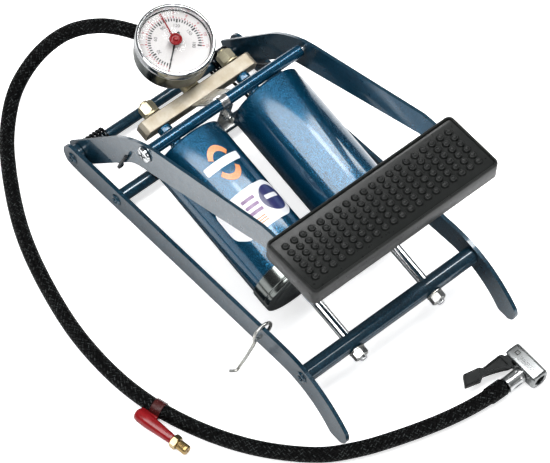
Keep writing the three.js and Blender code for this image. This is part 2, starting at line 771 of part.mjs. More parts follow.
function clipHolder() {
  const strap = tubeY(CLIP.strap, HOSE.radius + 0.35, -4, 4, 16);
  const socket = turned([
    [0, -SOCKET.front],
    [3.4, -SOCKET.front],
    [4.2, -SOCKET.front / 2],
    [SOCKET.radius, 0],
    [SOCKET.radius, -SOCKET.rear - 4],
    [SOCKET.radius * 0.85, -SOCKET.rear - 1.5],
    [SOCKET.radius * 0.5, -SOCKET.rear],
    [0, -SOCKET.rear],
  ], 16);
  const web = box(4, 7, 2.4, CLIP.out / 2 - 1.2, 0, CLIP.drop / 2);
  const bore = rodY(SOCKET.bore, -SOCKET.front - 2, -SOCKET.front + 10, 12);
  const inside = rodY(HOSE.radius + 0.35, -6, 6, 16);
  return join([strap, inSocket(socket), web], [inSocket(bore), inside]);
}

function adapter() {
  const barb = rodY(SOCKET.bore - GAP, -SOCKET.front - 1, -SOCKET.front + 9, 12);
  const hex = rodY(4.4, -SOCKET.front - 4.6, -SOCKET.front - GAP, 6);
  const nozzle = rodY(2.9, -SOCKET.front - 13.2, -SOCKET.front - 4, 12);
  const bore = rodY(1, -SOCKET.front - 14, -SOCKET.front + 10, 8);
  return inSocket(join([barb, hex, nozzle], [bore]));
}

function buildHose() {
  put(design, "hose", hose(), "hose");
  const crimp = tubeY(6.6, HOSE.radius + 0.4, TEE.end + 1, TEE.end + 12, 16);
  put(pumpLine, "hose_crimp", crimp, "zinc", 0, 0, BAR.h);
  const ferrule = tubeX(FERRULE.radius, FERRULE.bore, FERRULE.from, FERRULE.to);
  put(design, "chuck_ferrule", ferrule, "chrome", 0, -HOSE_END_U, CHUCK.z);
  put(design, "valve_chuck", valveChuck(), "chrome");
  const seal = tubeY(CHUCK.bore - GAP, 3.1, -CHUCK.mouth + 12, -CHUCK.mouth + 15.6, 16);
  put(design, "chuck_seal", seal, "rubber", CHUCK.x, 0, CHUCK.z);
  const pivot = [CHUCK.x + THUMB.x, -THUMB.u, CHUCK.z];
  put(design, "thumb_lever", thumbLever().translate(0, 0, THUMB.lift), "rubber", ...pivot);
  put(design, "thumb_pin", rodZ(THUMB.pin, -5, 7, 12), "steel", ...pivot);

  const clip = new THREE.Group();
  const curve = hoseCurve();
  const along = curve.getTangentAt(CLIP.at);
  clip.position.copy(curve.getPointAt(CLIP.at));
  clip.rotation.z = Math.atan2(along.x, -along.y);
  design.add(clip);
  put(clip, "adapter_clip", clipHolder(), "red");
  put(clip, "brass_adapter", adapter(), "brass");
}

// Latch hook: a wire ring through the left rail, with a leg that hangs outside and ends in a hook.
const HOOK = { u: 206.5, z: 34.5, ring: 8, wire: 1.2 };

function latchHook() {
  const points = [];
  for (let i = 0; i <= 14; i += 1) {
    const angle = Math.PI + 0.5 - (i / 14) * 1.86 * Math.PI;
    const drift = (i - 12.5) * 0.16;
    points.push(new THREE.Vector3(HOOK.ring * Math.cos(angle), drift, HOOK.ring * Math.sin(angle)));
  }
  points.reverse();
  points.push(new THREE.Vector3(-13, -2.2, -14));
  points.push(new THREE.Vector3(-19.5, -1, -26));
  points.push(new THREE.Vector3(-22, -1, -28.6));
  points.push(new THREE.Vector3(-27, 1.4, -27.4));
  const curve = new THREE.CatmullRomCurve3(points, false, "centripetal");
  return wire(curve, HOOK.wire, 44, 6);
}

function buildLatch() {
  put(design, "latch_hook", latchHook(), "steel", -RAIL.spacing / 2, -HOOK.u, HOOK.z);
}

// The finished model stands on z = 0 with the middle of its box over the origin.
function settle() {
  model.updateMatrixWorld(true);
  const bounds = new THREE.Box3().setFromObject(model, true);
  const middle = bounds.getCenter(new THREE.Vector3());
  design.position.sub(new THREE.Vector3(middle.x, middle.y, bounds.min.z));
}

buildFrame();
buildLever();
buildRods();
buildBarrels();
buildGauge();
buildHose();
buildLatch();
settle();

export default model;
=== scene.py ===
import math
import bmesh
import bpy
from mathutils import Matrix, Vector
from mathutils.geometry import tessellate_polygon


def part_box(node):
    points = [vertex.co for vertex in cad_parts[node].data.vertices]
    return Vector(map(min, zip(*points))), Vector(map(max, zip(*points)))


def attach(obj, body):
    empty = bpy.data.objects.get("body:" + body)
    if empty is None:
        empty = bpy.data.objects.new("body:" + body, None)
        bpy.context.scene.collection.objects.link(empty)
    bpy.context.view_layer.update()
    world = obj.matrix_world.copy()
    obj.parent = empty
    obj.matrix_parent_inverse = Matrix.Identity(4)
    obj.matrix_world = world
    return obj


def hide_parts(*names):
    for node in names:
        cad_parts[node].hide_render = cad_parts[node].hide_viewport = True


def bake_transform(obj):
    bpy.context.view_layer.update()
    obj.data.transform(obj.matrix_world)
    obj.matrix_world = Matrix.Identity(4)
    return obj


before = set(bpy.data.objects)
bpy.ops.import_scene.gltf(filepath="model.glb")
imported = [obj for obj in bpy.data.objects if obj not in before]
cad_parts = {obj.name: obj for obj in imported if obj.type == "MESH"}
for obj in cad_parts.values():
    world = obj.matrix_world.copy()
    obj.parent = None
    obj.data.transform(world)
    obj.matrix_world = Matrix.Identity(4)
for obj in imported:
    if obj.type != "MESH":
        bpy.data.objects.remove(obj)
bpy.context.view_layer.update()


def middle(node):
    low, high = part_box(node)
    return (low + high) / 2


# Driving dimensions
MM = 0.001
TILT = math.radians(11.1)
RAIL = {"spacing": 156.5, "thick": 3.0, "half": 10.5, "rest": 9.6, "tip": 288.5}
TUBE_HALF = RAIL["spacing"] / 2 - RAIL["thick"] / 2 - 0.3
ARM = {"spacing": 142.0, "thick": 2.4}
PIVOT = (0.0, 9.8)
TIE = (50.0, 14.4)
TIE_RADIUS = 5.0
SPRING_WIRE = 1.2
FRONT = (251.0, 32.0)
PEDAL = {"width": 164.0, "depth": 51.0, "middle": 233.5, "top": 152.0, "height": 15.0}
STUD = {"columns": 20, "rows": 6, "pitch_x": 7.58, "pitch_u": 6.0, "radius": 2.6, "height": 1.4}
BARREL = {"offset": 35.75, "radius": 28.5, "start": 68.0, "end": 180.5}
CAP = {"radius": 29.6, "start": 53.0, "end": 69.5}
AXLE = {"s": 186.0, "h": 24.6, "radius": 3.5, "half": 68.4}
BAR = {"s": 210.4, "h": -9.0, "half": 50.5, "depth": 11.0, "height": 11.0, "chamfer": 3.0}
COLLAR = {"x": -2.5, "half": 3.3, "radius": 4.9}
GAUGE = {"s": 242.6, "radius": 27.4, "bottom": 1.5, "rim": 27.0}
SCALE_START, SCALE_SWEEP = 131.0, 262.0
MARKER_TURN = -11.7
HOSE = {"radius": 5.5, "floor": 6.6, "sleeve": 15.0}
CHUCK = {"x": 56.4, "z": 8.0, "tail": 317.5, "mouth": 347.5, "radius": 7.2, "bore": 4.4}
THUMB = {"x": 56.1, "u": 322.3, "lift": 3.0, "thick": 4.0, "eye": 3.0}
FERRULE = {"radius": 5.8, "bore": 4.5, "from": 34.8, "to": 48.6, "u": 335.2}
CLIP = {"at": 0.627, "out": -11.6, "drop": -1.2, "turn": -6.0}
HOOK = {"u": 206.5, "z": 34.5, "ring": 8.0, "wire": 1.2}
SIDES = ((-1, "left"), (1, "right"))
FLOOR_HALF = 6.0  # metres
CAMERA = {
    "azimuth": -43.6,
    "elevation": 57.21,
    "roll": 3.8,
    "distance": 2256.0,
    "lens": 213.38,
    "target": (-27.56, -160.38, 55.0),
}

def at(x, y, z):
    return Matrix.Translation((x, y, z))


rear_axle = middle("rear_axle")
DESIGN = Matrix.Translation((rear_axle.x, rear_axle.y, 0)) @ Matrix.Scale(MM, 4)
PUMP = Matrix.Translation(middle("front_tube")) @ Matrix.Rotation(TILT, 4, "X") @ Matrix.Scale(MM, 4)
HEAD_AXLE = PUMP @ at(0, AXLE["s"], AXLE["h"])
ALONG_X = Matrix.Rotation(-math.pi / 2, 4, "Z")
ALONG_Z = Matrix.Rotation(math.pi / 2, 4, "X")


# Mesh building: a piece is a list of rings joined into a skin, or a flat outline given a thickness.
def skin(rings, closed=False):
    """Joins rings of points by faces. A ring may be one point, and open ends are capped."""
    verts, faces, starts = [], [], []
    for ring in rings:
        starts.append((len(verts), len(ring)))
        verts.extend(ring)
    pairs = list(zip(starts, starts[1:] + starts[:1])) if closed else list(zip(starts, starts[1:]))
    for (a, na), (b, nb) in pairs:
        n = max(na, nb)
        if n == 1:
            continue
        for i in range(n):
            j = (i + 1) % n
            if na == 1:
                faces.append((a, b + i, b + j))
            elif nb == 1:
                faces.append((a + i, b, a + j))
            else:
                faces.append((a + i, b + i, b + j, a + j))
    if not closed:
        for start, count in (starts[0], starts[-1]):
            if count > 2:
                faces.append(tuple(range(start, start + count)))
    return verts, faces


def soften(points, radius, closed=False, steps=4):
    """Rounds the corners of an outline or a turned profile."""
    out = []
    last = len(points) - 1
    for i, point in enumerate(points):
        if not closed and i in (0, last):
            out.append(tuple(point))
            continue
        p, a, b = Vector(point), Vector(points[i - 1]), Vector(points[(i + 1) % (last + 1)])
        before, after = a - p, b - p
        if before.length < 1e-6 or after.length < 1e-6:
            continue
        if before.normalized().dot(after.normalized()) < -0.97:
            out.append(tuple(point))
            continue
        reach = min(radius, before.length * 0.45, after.length * 0.45)
        start = p + before.normalized() * reach
        end = p + after.normalized() * reach
        for k in range(steps + 1):
            t = k / steps
            out.append(tuple(start * (1 - t) ** 2 + p * 2 * t * (1 - t) + end * t * t))
    return out


def turned(profile, sides=64, round_to=0.4, closed=False):
    """A profile of (radius, y) turned about the y axis."""
    rings = []
    for r, y in soften(profile, round_to, closed) if round_to else profile:
        if r < 1e-4:
            rings.append([(0, y, 0)])
        else:
            turn = [2 * math.pi * i / sides for i in range(sides)]
            rings.append([(r * math.cos(a), y, r * math.sin(a)) for a in turn])
    return skin(rings, closed)


def rod(radius, start, end, sides=48, round_to=0.4):
    """A solid rod along y."""
    return turned([(0, start), (radius, start), (radius, end), (0, end)], sides, round_to)


def shaped(rows, radius_at, sides):
    """Like turned, but the radius may also change with the angle: radius_at(angle, radius, y)."""
    rings = []
    for r, y in rows:
        ring = []
        for i in range(sides):
            a = 2 * math.pi * i / sides
            rr = radius_at(a, r, y)
            ring.append((rr * math.cos(a), y, rr * math.sin(a)))
        rings.append(ring)
    return rings


def hexagon(apothem, start, end, chamfer=0.16, sides=72):
    """A hexagonal head along y with its corners chamfered at both ends."""
    corner = apothem / math.cos(math.pi / 6)
    flat = apothem * 0.97
    rings = [[(0, start, 0)], [], [], [], [], [(0, end, 0)]]
    for i in range(sides):
        a = 2 * math.pi * i / sides
        r = apothem / math.cos((a + math.pi / 6) % (math.pi / 3) - math.pi / 6)
        drop = max(0.0, r - flat) / (corner - flat) * chamfer * corner
        for ring, radius, y in ((1, flat, start), (2, r, start + drop), (3, r, end - drop), (4, flat, end)):
            rings[ring].append((radius * math.cos(a), y, radius * math.sin(a)))
    return skin(rings)


def slab(outline, thick):
    """An outline in (u, z) given its thickness across x, centred on x = 0."""
    verts = [(side * thick / 2, -u, z) for side in (-1, 1) for u, z in outline]
    n = len(outline)
    faces = []
    for tri in tessellate_polygon([[Vector((u, z, 0)) for u, z in outline]]):
        faces.append(tuple(tri))
        faces.append(tuple(n + i for i in reversed(tri)))
    for i in range(n):
        j = (i + 1) % n
        faces.append((i, j, n + j, n + i))
    return verts, faces


def block(width, depth, height):
    w, d, h = width / 2, depth / 2, height / 2
    ring = [(-w, -d), (w, -d), (w, d), (-w, d)]
    return skin([[(x, y, -h) for x, y in ring], [(x, y, h) for x, y in ring]])


def swept(points, radius, sides=12):
    """A round wire or hose along points, with its length kept for the braid. radius may be a function of the
    share of the length."""
    path = [Vector(p) for p in points]
    size = radius if callable(radius) else (lambda t: radius)
    rings, lengths = [], []
    length = 0.0
    tangent = (path[1] - path[0]).normalized()
    across = tangent.orthogonal().normalized()
    total = sum((b - a).length for a, b in zip(path, path[1:]))
    for i, p in enumerate(path):
        ahead = path[min(i + 1, len(path) - 1)] - path[max(i - 1, 0)]
        tangent = ahead.normalized()
        across = (across - tangent * across.dot(tangent)).normalized()
        up = tangent.cross(across)
        if i:
            length += (p - path[i - 1]).length
        r = size(length / total)
        ring = []
        for k in range(sides):
            a = 2 * math.pi * k / sides
            ring.append(tuple(p + across * (r * math.cos(a)) + up * (r * math.sin(a))))
        rings.append(ring)
        lengths.append(length)
    return skin(rings), lengths


def through(points, per_span=8):
    """A smooth curve through points (centripetal Catmull-Rom)."""
    p = [Vector(q) for q in points]
    p = [p[0] * 2 - p[1], *p, p[-1] * 2 - p[-2]]
    out = []
    for i in range(1, len(p) - 2):
        a, b, c, d = p[i - 1 : i + 3]
        t1 = (b - a).length ** 0.5
        t2 = t1 + (c - b).length ** 0.5
        t3 = t2 + (d - c).length ** 0.5
        for k in range(per_span):
            t = t1 + (t2 - t1) * k / per_span
            a1 = a * ((t1 - t) / t1) + b * (t / t1)
            a2 = b * ((t2 - t) / (t2 - t1)) + c * ((t - t1) / (t2 - t1))
            a3 = c * ((t3 - t) / (t3 - t2)) + d * ((t - t2) / (t3 - t2))
            b1 = a1 * ((t2 - t) / t2) + a2 * (t / t2)
            b2 = a2 * ((t3 - t) / (t3 - t1)) + a3 * ((t - t1) / (t3 - t1))
            out.append(b1 * ((t2 - t) / (t2 - t1)) + b2 * ((t - t1) / (t2 - t1)))
    out.append(p[-2])
    return out


def merged(*parts):
    """One shape from (place, shape) pairs."""
    verts, faces = [], []
    for matrix, (v, f) in parts:
        start = len(verts)
        verts.extend(tuple(matrix @ Vector(p)) for p in v)
        faces.extend(tuple(start + i for i in face) for face in f)
    return verts, faces


def together(*shapes):
    return merged(*[(Matrix(), shape) for shape in shapes])


def outward(mesh):
    """Turns faces outward, and keeps edges sharp where the surface turns by 32 degrees or more."""
    bm = bmesh.new()
    bm.from_mesh(mesh)
    bmesh.ops.recalc_face_normals(bm, faces=bm.faces)
    for edge in bm.edges:
        edge.smooth = len(edge.link_faces) == 2 and edge.calc_face_angle(0) < math.radians(32)
    for face in bm.faces:
        face.smooth = True
    bm.to_mesh(mesh)
    bm.free()


def piece(name, shape, place, body, material, slot, node="", edge=0.0):
    """Makes a named piece from (verts, faces), puts it in place and lets it ride on a body. It may stand for
    a CAD node, and its edges may be rounded, in millimetres."""
    verts, faces = shape
    mesh = bpy.data.meshes.new(name)
    mesh.from_pydata([tuple(place @ Vector(v)) for v in verts], [], faces)
    outward(mesh)
    mesh.materials.append(material)
    thing = bpy.data.objects.new(name, mesh)
    bpy.context.scene.collection.objects.link(thing)
    if edge:
        bevel = thing.modifiers.new("edge", "BEVEL")
        bevel.width = edge * MM
        bevel.segments = 3
        bevel.limit_method = "ANGLE"
        bevel.angle_limit = math.radians(40)
        bevel.harden_normals = True
    if body:
        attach(thing, body)
    if node:
        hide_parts(node)
    return thing


def on_head(name, shape, place, *rest, **more):
    return piece(name, shape, place, "pump_head", *rest, **more)


def on_hose(name, shape, place, *rest, **more):
    return piece(name, shape, place, "hose_line", *rest, **more)


def carve(thing, *cuts):
    """Cuts (shape, place) pairs out of a piece, under its other modifiers."""
    for shape, place in cuts:
        mesh = bpy.data.meshes.new("cutter")
        mesh.from_pydata([tuple(place @ Vector(v)) for v in shape[0]], [], shape[1])
        outward(mesh)
        cutter = bpy.data.objects.new("cutter", mesh)
        bpy.context.scene.collection.objects.link(cutter)
        blank = bpy.data.objects.new("blank", thing.data)
        bpy.context.scene.collection.objects.link(blank)
        boolean = blank.modifiers.new("carve", "BOOLEAN")
        boolean.operation = "DIFFERENCE"
        boolean.solver = "EXACT"
        boolean.object = cutter
        bpy.context.view_layer.update()
        cut = bpy.data.meshes.new_from_object(blank.evaluated_get(bpy.context.evaluated_depsgraph_get()))
        outward(cut)
        for spare in (blank, cutter):
            bpy.data.objects.remove(spare)
        thing.data = cut


# Materials: every one is procedural, in object coordinates (metres).
class Shader:
    """A material whose nodes are added one call at a time. Each call returns an output socket."""

    def __init__(self, name):
        self.material = bpy.data.materials.new(name)
        self.material.use_nodes = True
        self.tree = self.material.node_tree
        self.bsdf = self.tree.nodes["Principled BSDF"]
        self.output = self.tree.nodes["Material Output"]
        self.where = self.tree.nodes.new("ShaderNodeTexCoord").outputs["Object"]

    def set(self, **values):
        for key, value in values.items():
            self.feed(self.bsdf.inputs[key.replace("_", " ")], value)
        return self

    def feed(self, socket, value):
        if isinstance(value, bpy.types.NodeSocket):
            self.tree.links.new(value, socket)
        elif isinstance(value, tuple) and len(value) == 3 and socket.type == "RGBA":
            socket.default_value = (*value, 1)
        else:
            socket.default_value = value

    def node(self, kind, out, settings=None, **inputs):
        """Adds a node. An input named i0, i1 and so on is given by its number."""
        made = self.tree.nodes.new("ShaderNode" + kind)
        for key, value in (settings or {}).items():
            setattr(made, key, value)
        for key, value in inputs.items():
            name = key.replace("_", " ")
            index = int(name[1:]) if name[0] == "i" and name[1:].isdigit() else name
            self.feed(made.inputs[index], value)
        return made.outputs[out]

    def stretched(self, x, y, z):
        return self.node("Mapping", 0, None, Vector=self.where, Scale=(x, y, z))

    def noise(self, scale, detail=3.0, where=None):
        where = where or self.where
        return self.node("TexNoise", 0, None, Vector=where, Scale=scale, Detail=detail, Roughness=0.55)

    def cells(self, scale):
        """A random colour for each cell of a cell pattern."""
        return self.node("TexVoronoi", "Color", None, Vector=self.where, Scale=scale)

    def range(self, value, low, high, to_low, to_high):
        return self.node(
            "MapRange", 0, None, Value=value, From_Min=low, From_Max=high, To_Min=to_low, To_Max=to_high
        )

    def mix(self, share, a, b):
        made = self.tree.nodes.new("ShaderNodeMix")
        made.data_type = "RGBA"
        self.feed(made.inputs[0], share)
        self.feed(made.inputs[6], a)
        self.feed(made.inputs[7], b)
        return made.outputs[2]

    def math(self, kind, a, b=0.0):
        return self.node("Math", 0, {"operation": kind}, i0=a, i1=b)

    def bump(self, height, depth, strength=1.0):
        return self.node("Bump", 0, None, Height=height, Distance=depth * MM, Strength=strength)

    def worn(self):
        """A mask that is 1 on convex edges, broken up by noise."""
        edge = self.tree.nodes.new("ShaderNodeNewGeometry").outputs["Pointiness"]
        ragged = self.math("ADD", edge, self.range(self.noise(900), 0.3, 0.7, -0.02, 0.02))
        return self.range(ragged, 0.51, 0.56, 0.0, 1.0)


def frame_paint():
    s = Shader("frame_paint")
    cloud = s.noise(30, 2)
    tone = s.mix(s.range(cloud, 0.3, 0.7, 0, 1), (0.003, 0.024, 0.044), (0.0045, 0.035, 0.062))
    grain = s.node("SeparateColor", 0, None, Color=s.cells(1500))
    tone = s.mix(s.range(grain, 0.5, 1.0, 0, 0.7), tone, (0.018, 0.085, 0.14))
    s.set(
        Base_Color=tone,
        Metallic=0.35,
        Roughness=s.range(s.noise(120, 4), 0.3, 0.7, 0.26, 0.38),
        Coat_Weight=1.0,
        Coat_Roughness=s.range(s.noise(60, 4), 0.35, 0.7, 0.04, 0.1),
        Coat_IOR=1.62,
        Coat_Normal=s.bump(s.noise(260, 1), 0.008, 0.22),
    )
    return s.material


def barrel_lacquer():
    """Metallic lacquer: flake of two sizes whose grains lean at random, under a clear coat."""
    s = Shader("barrel_lacquer")
    normal = s.tree.nodes.new("ShaderNodeNewGeometry").outputs["Normal"]
    lean = normal
    for scale, share in ((1900, 0.2), (3200, 0.18)):
        part = s.node("VectorMath", 0, {"operation": "SUBTRACT"}, i0=s.cells(scale), i1=(0.5, 0.5, 0.5))
        part = s.node("VectorMath", 0, {"operation": "SCALE"}, i0=part, Scale=share)
        lean = s.node("VectorMath", 0, {"operation": "ADD"}, i0=lean, i1=part)
    lean = s.node("VectorMath", 0, {"operation": "NORMALIZE"}, i0=lean)
    grain = s.node("SeparateColor", 1, None, Color=s.cells(1900))
    tone = s.mix(s.range(grain, 0.1, 1.0, 0, 1), (0.0006, 0.033, 0.075), (0.002, 0.088, 0.17))
    tone = s.mix(s.range(s.noise(22, 2), 0.35, 0.7, 0, 0.15), tone, (0.001, 0.03, 0.07))
    s.set(
        Base_Color=tone,
        Metallic=0.6,
        Roughness=0.24,
        Specular_IOR_Level=0.2,
        Normal=lean,
        Coat_Weight=1.0,
        Coat_IOR=1.5,
        Coat_Roughness=0.09,
        Coat_Normal=s.bump(s.noise(260, 1), 0.01, 0.2),
    )
    return s.material


def plated(name, tone, roughness, smudge=0.08, grain=0.0, tint=None, worn=None):
    """Bare or plated metal with handling marks; grain is the depth of a fine cast skin."""
    s = Shader(name)
    colour = tone
    if tint:
        colour = s.mix(s.range(s.noise(70, 3), 0.35, 0.68, 0, 1), tone, tint)
    if worn:
        colour = s.mix(s.worn(), colour, worn)
    marks = s.noise(120, 2, s.stretched(1, 0.35, 1))
    s.set(
        Base_Color=colour,
        Metallic=1.0,
        Roughness=s.range(marks, 0.3, 0.75, roughness, roughness + smudge),
    )
    if grain:
        s.set(Normal=s.bump(s.noise(1500, 3), grain, 0.6))
    return s.material


def cast_metal():
    s = Shader("cast_zinc")
    brushed = s.noise(260, 4, s.stretched(6, 1, 1))
    tone = s.mix(s.range(s.noise(90, 4), 0.3, 0.7, 0, 1), (0.33, 0.28, 0.2), (0.46, 0.42, 0.35))
    s.set(
        Base_Color=tone,
        Metallic=0.7,
        Roughness=s.range(brushed, 0.3, 0.7, 0.42, 0.58),
        Normal=s.bump(s.noise(1400, 4), 0.05, 0.5),
    )
    return s.material


def pad_rubber():
    s = Shader("pad_rubber")
    dust = s.range(s.noise(45, 5), 0.45, 0.75, 0, 0.5)
    # Painted shade: ambient occlusion darkens the colour and dims the specular in the crevices round the
    # studs and rim.
    crevice_shade = s.node("AmbientOcclusion", "AO", {"samples": 8}, Distance=0.004)
    tone = s.mix(dust, (0.0105, 0.0115, 0.011), (0.0165, 0.0175, 0.0165))
    s.set(
        Base_Color=s.mix(s.range(crevice_shade, 0.35, 0.85, 0, 1), (0.001, 0.0012, 0.001), tone),
        Roughness=s.range(s.noise(240, 4), 0.3, 0.7, 0.26, 0.36),
        Specular_IOR_Level=s.range(crevice_shade, 0.35, 0.85, 0.03, 0.3),
        Normal=s.bump(s.noise(2600, 3), 0.02, 0.5),
    )
    return s.material


def moulded(name, tone, lift, roughness, subsurface=0.0, shine=0.4):
    """Moulded plastic: faint flow marks in its colour and a fine skin."""
    s = Shader(name)
    s.set(
        Base_Color=s.mix(s.range(s.noise(120, 4), 0.35, 0.7, 0, 1), tone, lift),
        Specular_IOR_Level=shine,
        Roughness=s.range(s.noise(400, 3), 0.3, 0.7, roughness, roughness + 0.12),
        Normal=s.bump(s.noise(1800, 2), 0.012, 0.5),
    )
    if subsurface:
        s.set(Subsurface_Weight=subsurface, Subsurface_Scale=0.003)
        s.bsdf.inputs["Subsurface Radius"].default_value = (1.0, 0.2, 0.1)
    return s.material


def braid():
    """Two families of yarn crossing round the hose: over and under alternate like a chess board.
    The map holds the share round the hose in x and the length in millimetres in y."""
    s = Shader("hose_braid")
    where = s.node("UVMap", 0, {"uv_map": "braid"})
    around, along = [s.node("SeparateXYZ", i, None, Vector=where) for i in range(2)]
    turns = s.math("MULTIPLY", around, 12.0)
    rise = s.math("DIVIDE", along, 3.4)
    a = s.math("ADD", turns, rise)
    b = s.math("SUBTRACT", turns, rise)
    over = s.math("FLOORED_MODULO", s.math("ADD", s.math("FLOOR", a), s.math("FLOOR", b)), 2.0)
    ridge = []
    for value in (a, b):
        middle_of = s.math("ABSOLUTE", s.math("SUBTRACT", s.math("FRACT", value), 0.5))
        ridge.append(s.math("SUBTRACT", 1.0, s.math("MULTIPLY", middle_of, 1.9)))
    height = s.node("Mix", 0, {"data_type": "FLOAT"}, i0=over, i2=ridge[0], i3=ridge[1])
    strand = s.node("CombineXYZ", 0, None, X=s.math("FLOOR", a), Y=s.math("FLOOR", b))
    shade = s.node("TexWhiteNoise", 0, {"noise_dimensions": "3D"}, Vector=strand)
    # Painted highlight and painted shade: the colour is lighter on the crest of each yarn and near black
    # between the yarns.
    light = s.math("MULTIPLY", s.range(height, 0.6, 0.98, 0.0, 1.0), s.range(shade, 0.3, 1, 0.05, 1.0))
    s.set(
        Base_Color=s.mix(light, (0.0006, 0.0006, 0.0007), (0.03, 0.036, 0.036)),
        Roughness=s.range(light, 0, 1, 0.55, 0.34),
        Specular_IOR_Level=s.range(light, 0, 1, 0.06, 0.3),
        Normal=s.bump(height, 0.45, 1.0),
    )
    return s.material


def clear_lens():
    """Thin clear plastic: mostly see-through, with a faint reflection that grows at a glance."""
    s = Shader("clear_lens")
    glance = s.node("Fresnel", 0, None, IOR=1.45)
    clear = s.node("BsdfTransparent", 0, None, Color=(0.985, 0.99, 0.99))
    shine = s.node("BsdfGlossy", 0, None, Roughness=s.range(s.noise(30), 0.3, 0.7, 0.01, 0.05))
    both = s.node("MixShader", 0, None, i0=s.math("MULTIPLY", glance, 0.22), i1=clear, i2=shine)
    s.tree.links.new(both, s.output.inputs["Surface"])
    return s.material


def printed(name, tone, speck, coat=0.4):
    """Ink or card: flat tone with paper-fine speckle under a satin film."""
    s = Shader(name)
    s.set(
        Base_Color=s.mix(s.range(s.noise(900, 4), 0.5, 0.72, 0, 1), tone, speck),
        Roughness=s.range(s.noise(200, 3), 0.3, 0.7, 0.32, 0.45),
        Coat_Weight=coat,
        Coat_Roughness=0.15,
    )
    return s.material


PAINT = frame_paint()
LACQUER = barrel_lacquer()
CHROME = plated("bright_chrome", (0.74, 0.75, 0.76), 0.1, 0.06)
SATIN = plated("satin_chrome", (0.6, 0.61, 0.61), 0.27, 0.06)
DIECAST = plated("polished_casting", (0.27, 0.28, 0.28), 0.24, 0.1, 0.015)
# A dimmed copy of the bright chrome: its dark tone is painted dark reflection of shaded surroundings.
DIMMED_CHROME = plated("dimmed_chrome", (0.2, 0.215, 0.205), 0.14, 0.08)
ZINC = plated("zinc_plate", (0.6, 0.6, 0.57), 0.24, 0.14, 0.02, (0.52, 0.5, 0.43), (0.72, 0.72, 0.7))
YELLOW_ZINC = plated(
    "yellow_zinc", (0.33, 0.27, 0.15), 0.38, 0.14, 0.02, (0.48, 0.43, 0.29), (0.6, 0.55, 0.4)
)
BRASS = plated("turned_brass", (0.4, 0.27, 0.1), 0.26, 0.12, 0.01, (0.33, 0.22, 0.085), (0.5, 0.38, 0.2))
CAST = cast_metal()
SPRING = plated("spring_wire", (0.035, 0.04, 0.044), 0.2, 0.12, 0.01, (0.015, 0.016, 0.018))
RUBBER = pad_rubber()
BRAID = braid()
BLACK = moulded("black_plastic", (0.007, 0.008, 0.008), (0.011, 0.013, 0.013), 0.26, 0.0, 0.2)
RED = moulded("red_plastic", (0.24, 0.006, 0.009), (0.19, 0.005, 0.007), 0.14, 0.1)
STRAP = moulded("red_strap", (0.07, 0.008, 0.007), (0.05, 0.006, 0.006), 0.3, 0.0, 0.3)
STRAP.node_tree.nodes["Principled BSDF"].inputs["Alpha"].default_value = 0.6
DIAL = printed("dial_card", (0.56, 0.53, 0.525), (0.5, 0.475, 0.47))
LENS = clear_lens()
INK = printed("black_ink", (0.004, 0.004, 0.005), (0.012, 0.012, 0.012), 0.0)
RED_INK = printed("red_ink", (0.3, 0.02, 0.03), (0.36, 0.05, 0.06), 0.0)
LABEL = printed("label_film", (0.82, 0.82, 0.84), (0.77, 0.77, 0.8))
ORANGE = printed("orange_ink", (0.7, 0.2, 0.035), (0.76, 0.3, 0.09))
NAVY = printed("navy_ink", (0.012, 0.014, 0.1), (0.02, 0.022, 0.14))
PURPLE = printed("plum_ink", (0.16, 0.06, 0.2), (0.22, 0.1, 0.26))


# Frame
def arc(centre, radius, start, end, steps):
    out = []
    for i in range(steps + 1):
        a = math.radians(start + (end - start) * i / steps)
        out.append((centre[0] + radius * math.cos(a), centre[1] + radius * math.sin(a)))
    return out


def curve(a, b, c, steps=10):
    out = []
    for i in range(1, steps + 1):
        t = i / steps
        out.append(tuple(a[k] * (1 - t) ** 2 + 2 * b[k] * t * (1 - t) + c[k] * t * t for k in (0, 1)))
    return out


def above_floor(outline):
    out = []
    for (u0, z0), (u1, z1) in zip(outline, outline[1:] + outline[:1]):
        if z0 >= 0:
            out.append((u0, z0))
        if (z0 < 0) != (z1 < 0):
            t = z0 / (z0 - z1)
            out.append((u0 + (u1 - u0) * t, 0.0))
    return out


def rail_outline():
    start, bend, tip = (0.0, RAIL["rest"]), (228.0, 31.7), (RAIL["tip"], RAIL["rest"])
    spots = [Vector(p) for p in [start, bend, *curve(bend, (262.0, 35.0), tip, 24)]]
    heads = []
    for i in range(len(spots)):
        heads.append((spots[min(i + 1, len(spots) - 1)] - spots[max(i - 1, 0)]).normalized())
    edges = []
    for side in (1, -1):
        normals = [Vector((-d.y, d.x)) * side * RAIL["half"] for d in heads]
        edges.append([tuple(p + n) for p, n in zip(spots, normals)])
    front = math.degrees(math.atan2(heads[-1].y, heads[-1].x))
    back = math.degrees(math.atan2(heads[0].y, heads[0].x))
    nose = arc(tip, RAIL["half"], front + 90, front - 90, 24)[1:-1]
    tail = arc(start, RAIL["half"], back - 90, back - 270, 24)[1:-1]
    return above_floor(edges[0] + nose + edges[1][::-1] + tail)


def cross_tube(name, radius, where, node):
    shape = rod(radius, -TUBE_HALF, TUBE_HALF, 48, 0.3)
    place = DESIGN @ at(0, -where[0], where[1]) @ ALONG_X
    piece(name, shape, place, "frame", PAINT, "blue_paint", node)


def flared_rivet(side, name, where, node):
    """The end of a cross member, spread over the rail: a rolled rim round a dimple."""
    rim = [(0, -1.5), (1.9, -1.5), (2.2, 0.9), (2.9, 1.6), (3.7, 1.5), (4.3, 0.9), (4.9, 0.2)]
    profile = rim + [(2.6, 0.15), (2.6, -8), (0, -8)]
    face = RAIL["spacing"] / 2 + RAIL["thick"] / 2
    place = DESIGN @ at(side * face, -where[0], where[1]) @ Matrix.Rotation(-side * math.pi / 2, 4, "Z")
    piece(name, turned(profile, 40, 0.35), place, "frame", PAINT, "blue_paint", node)


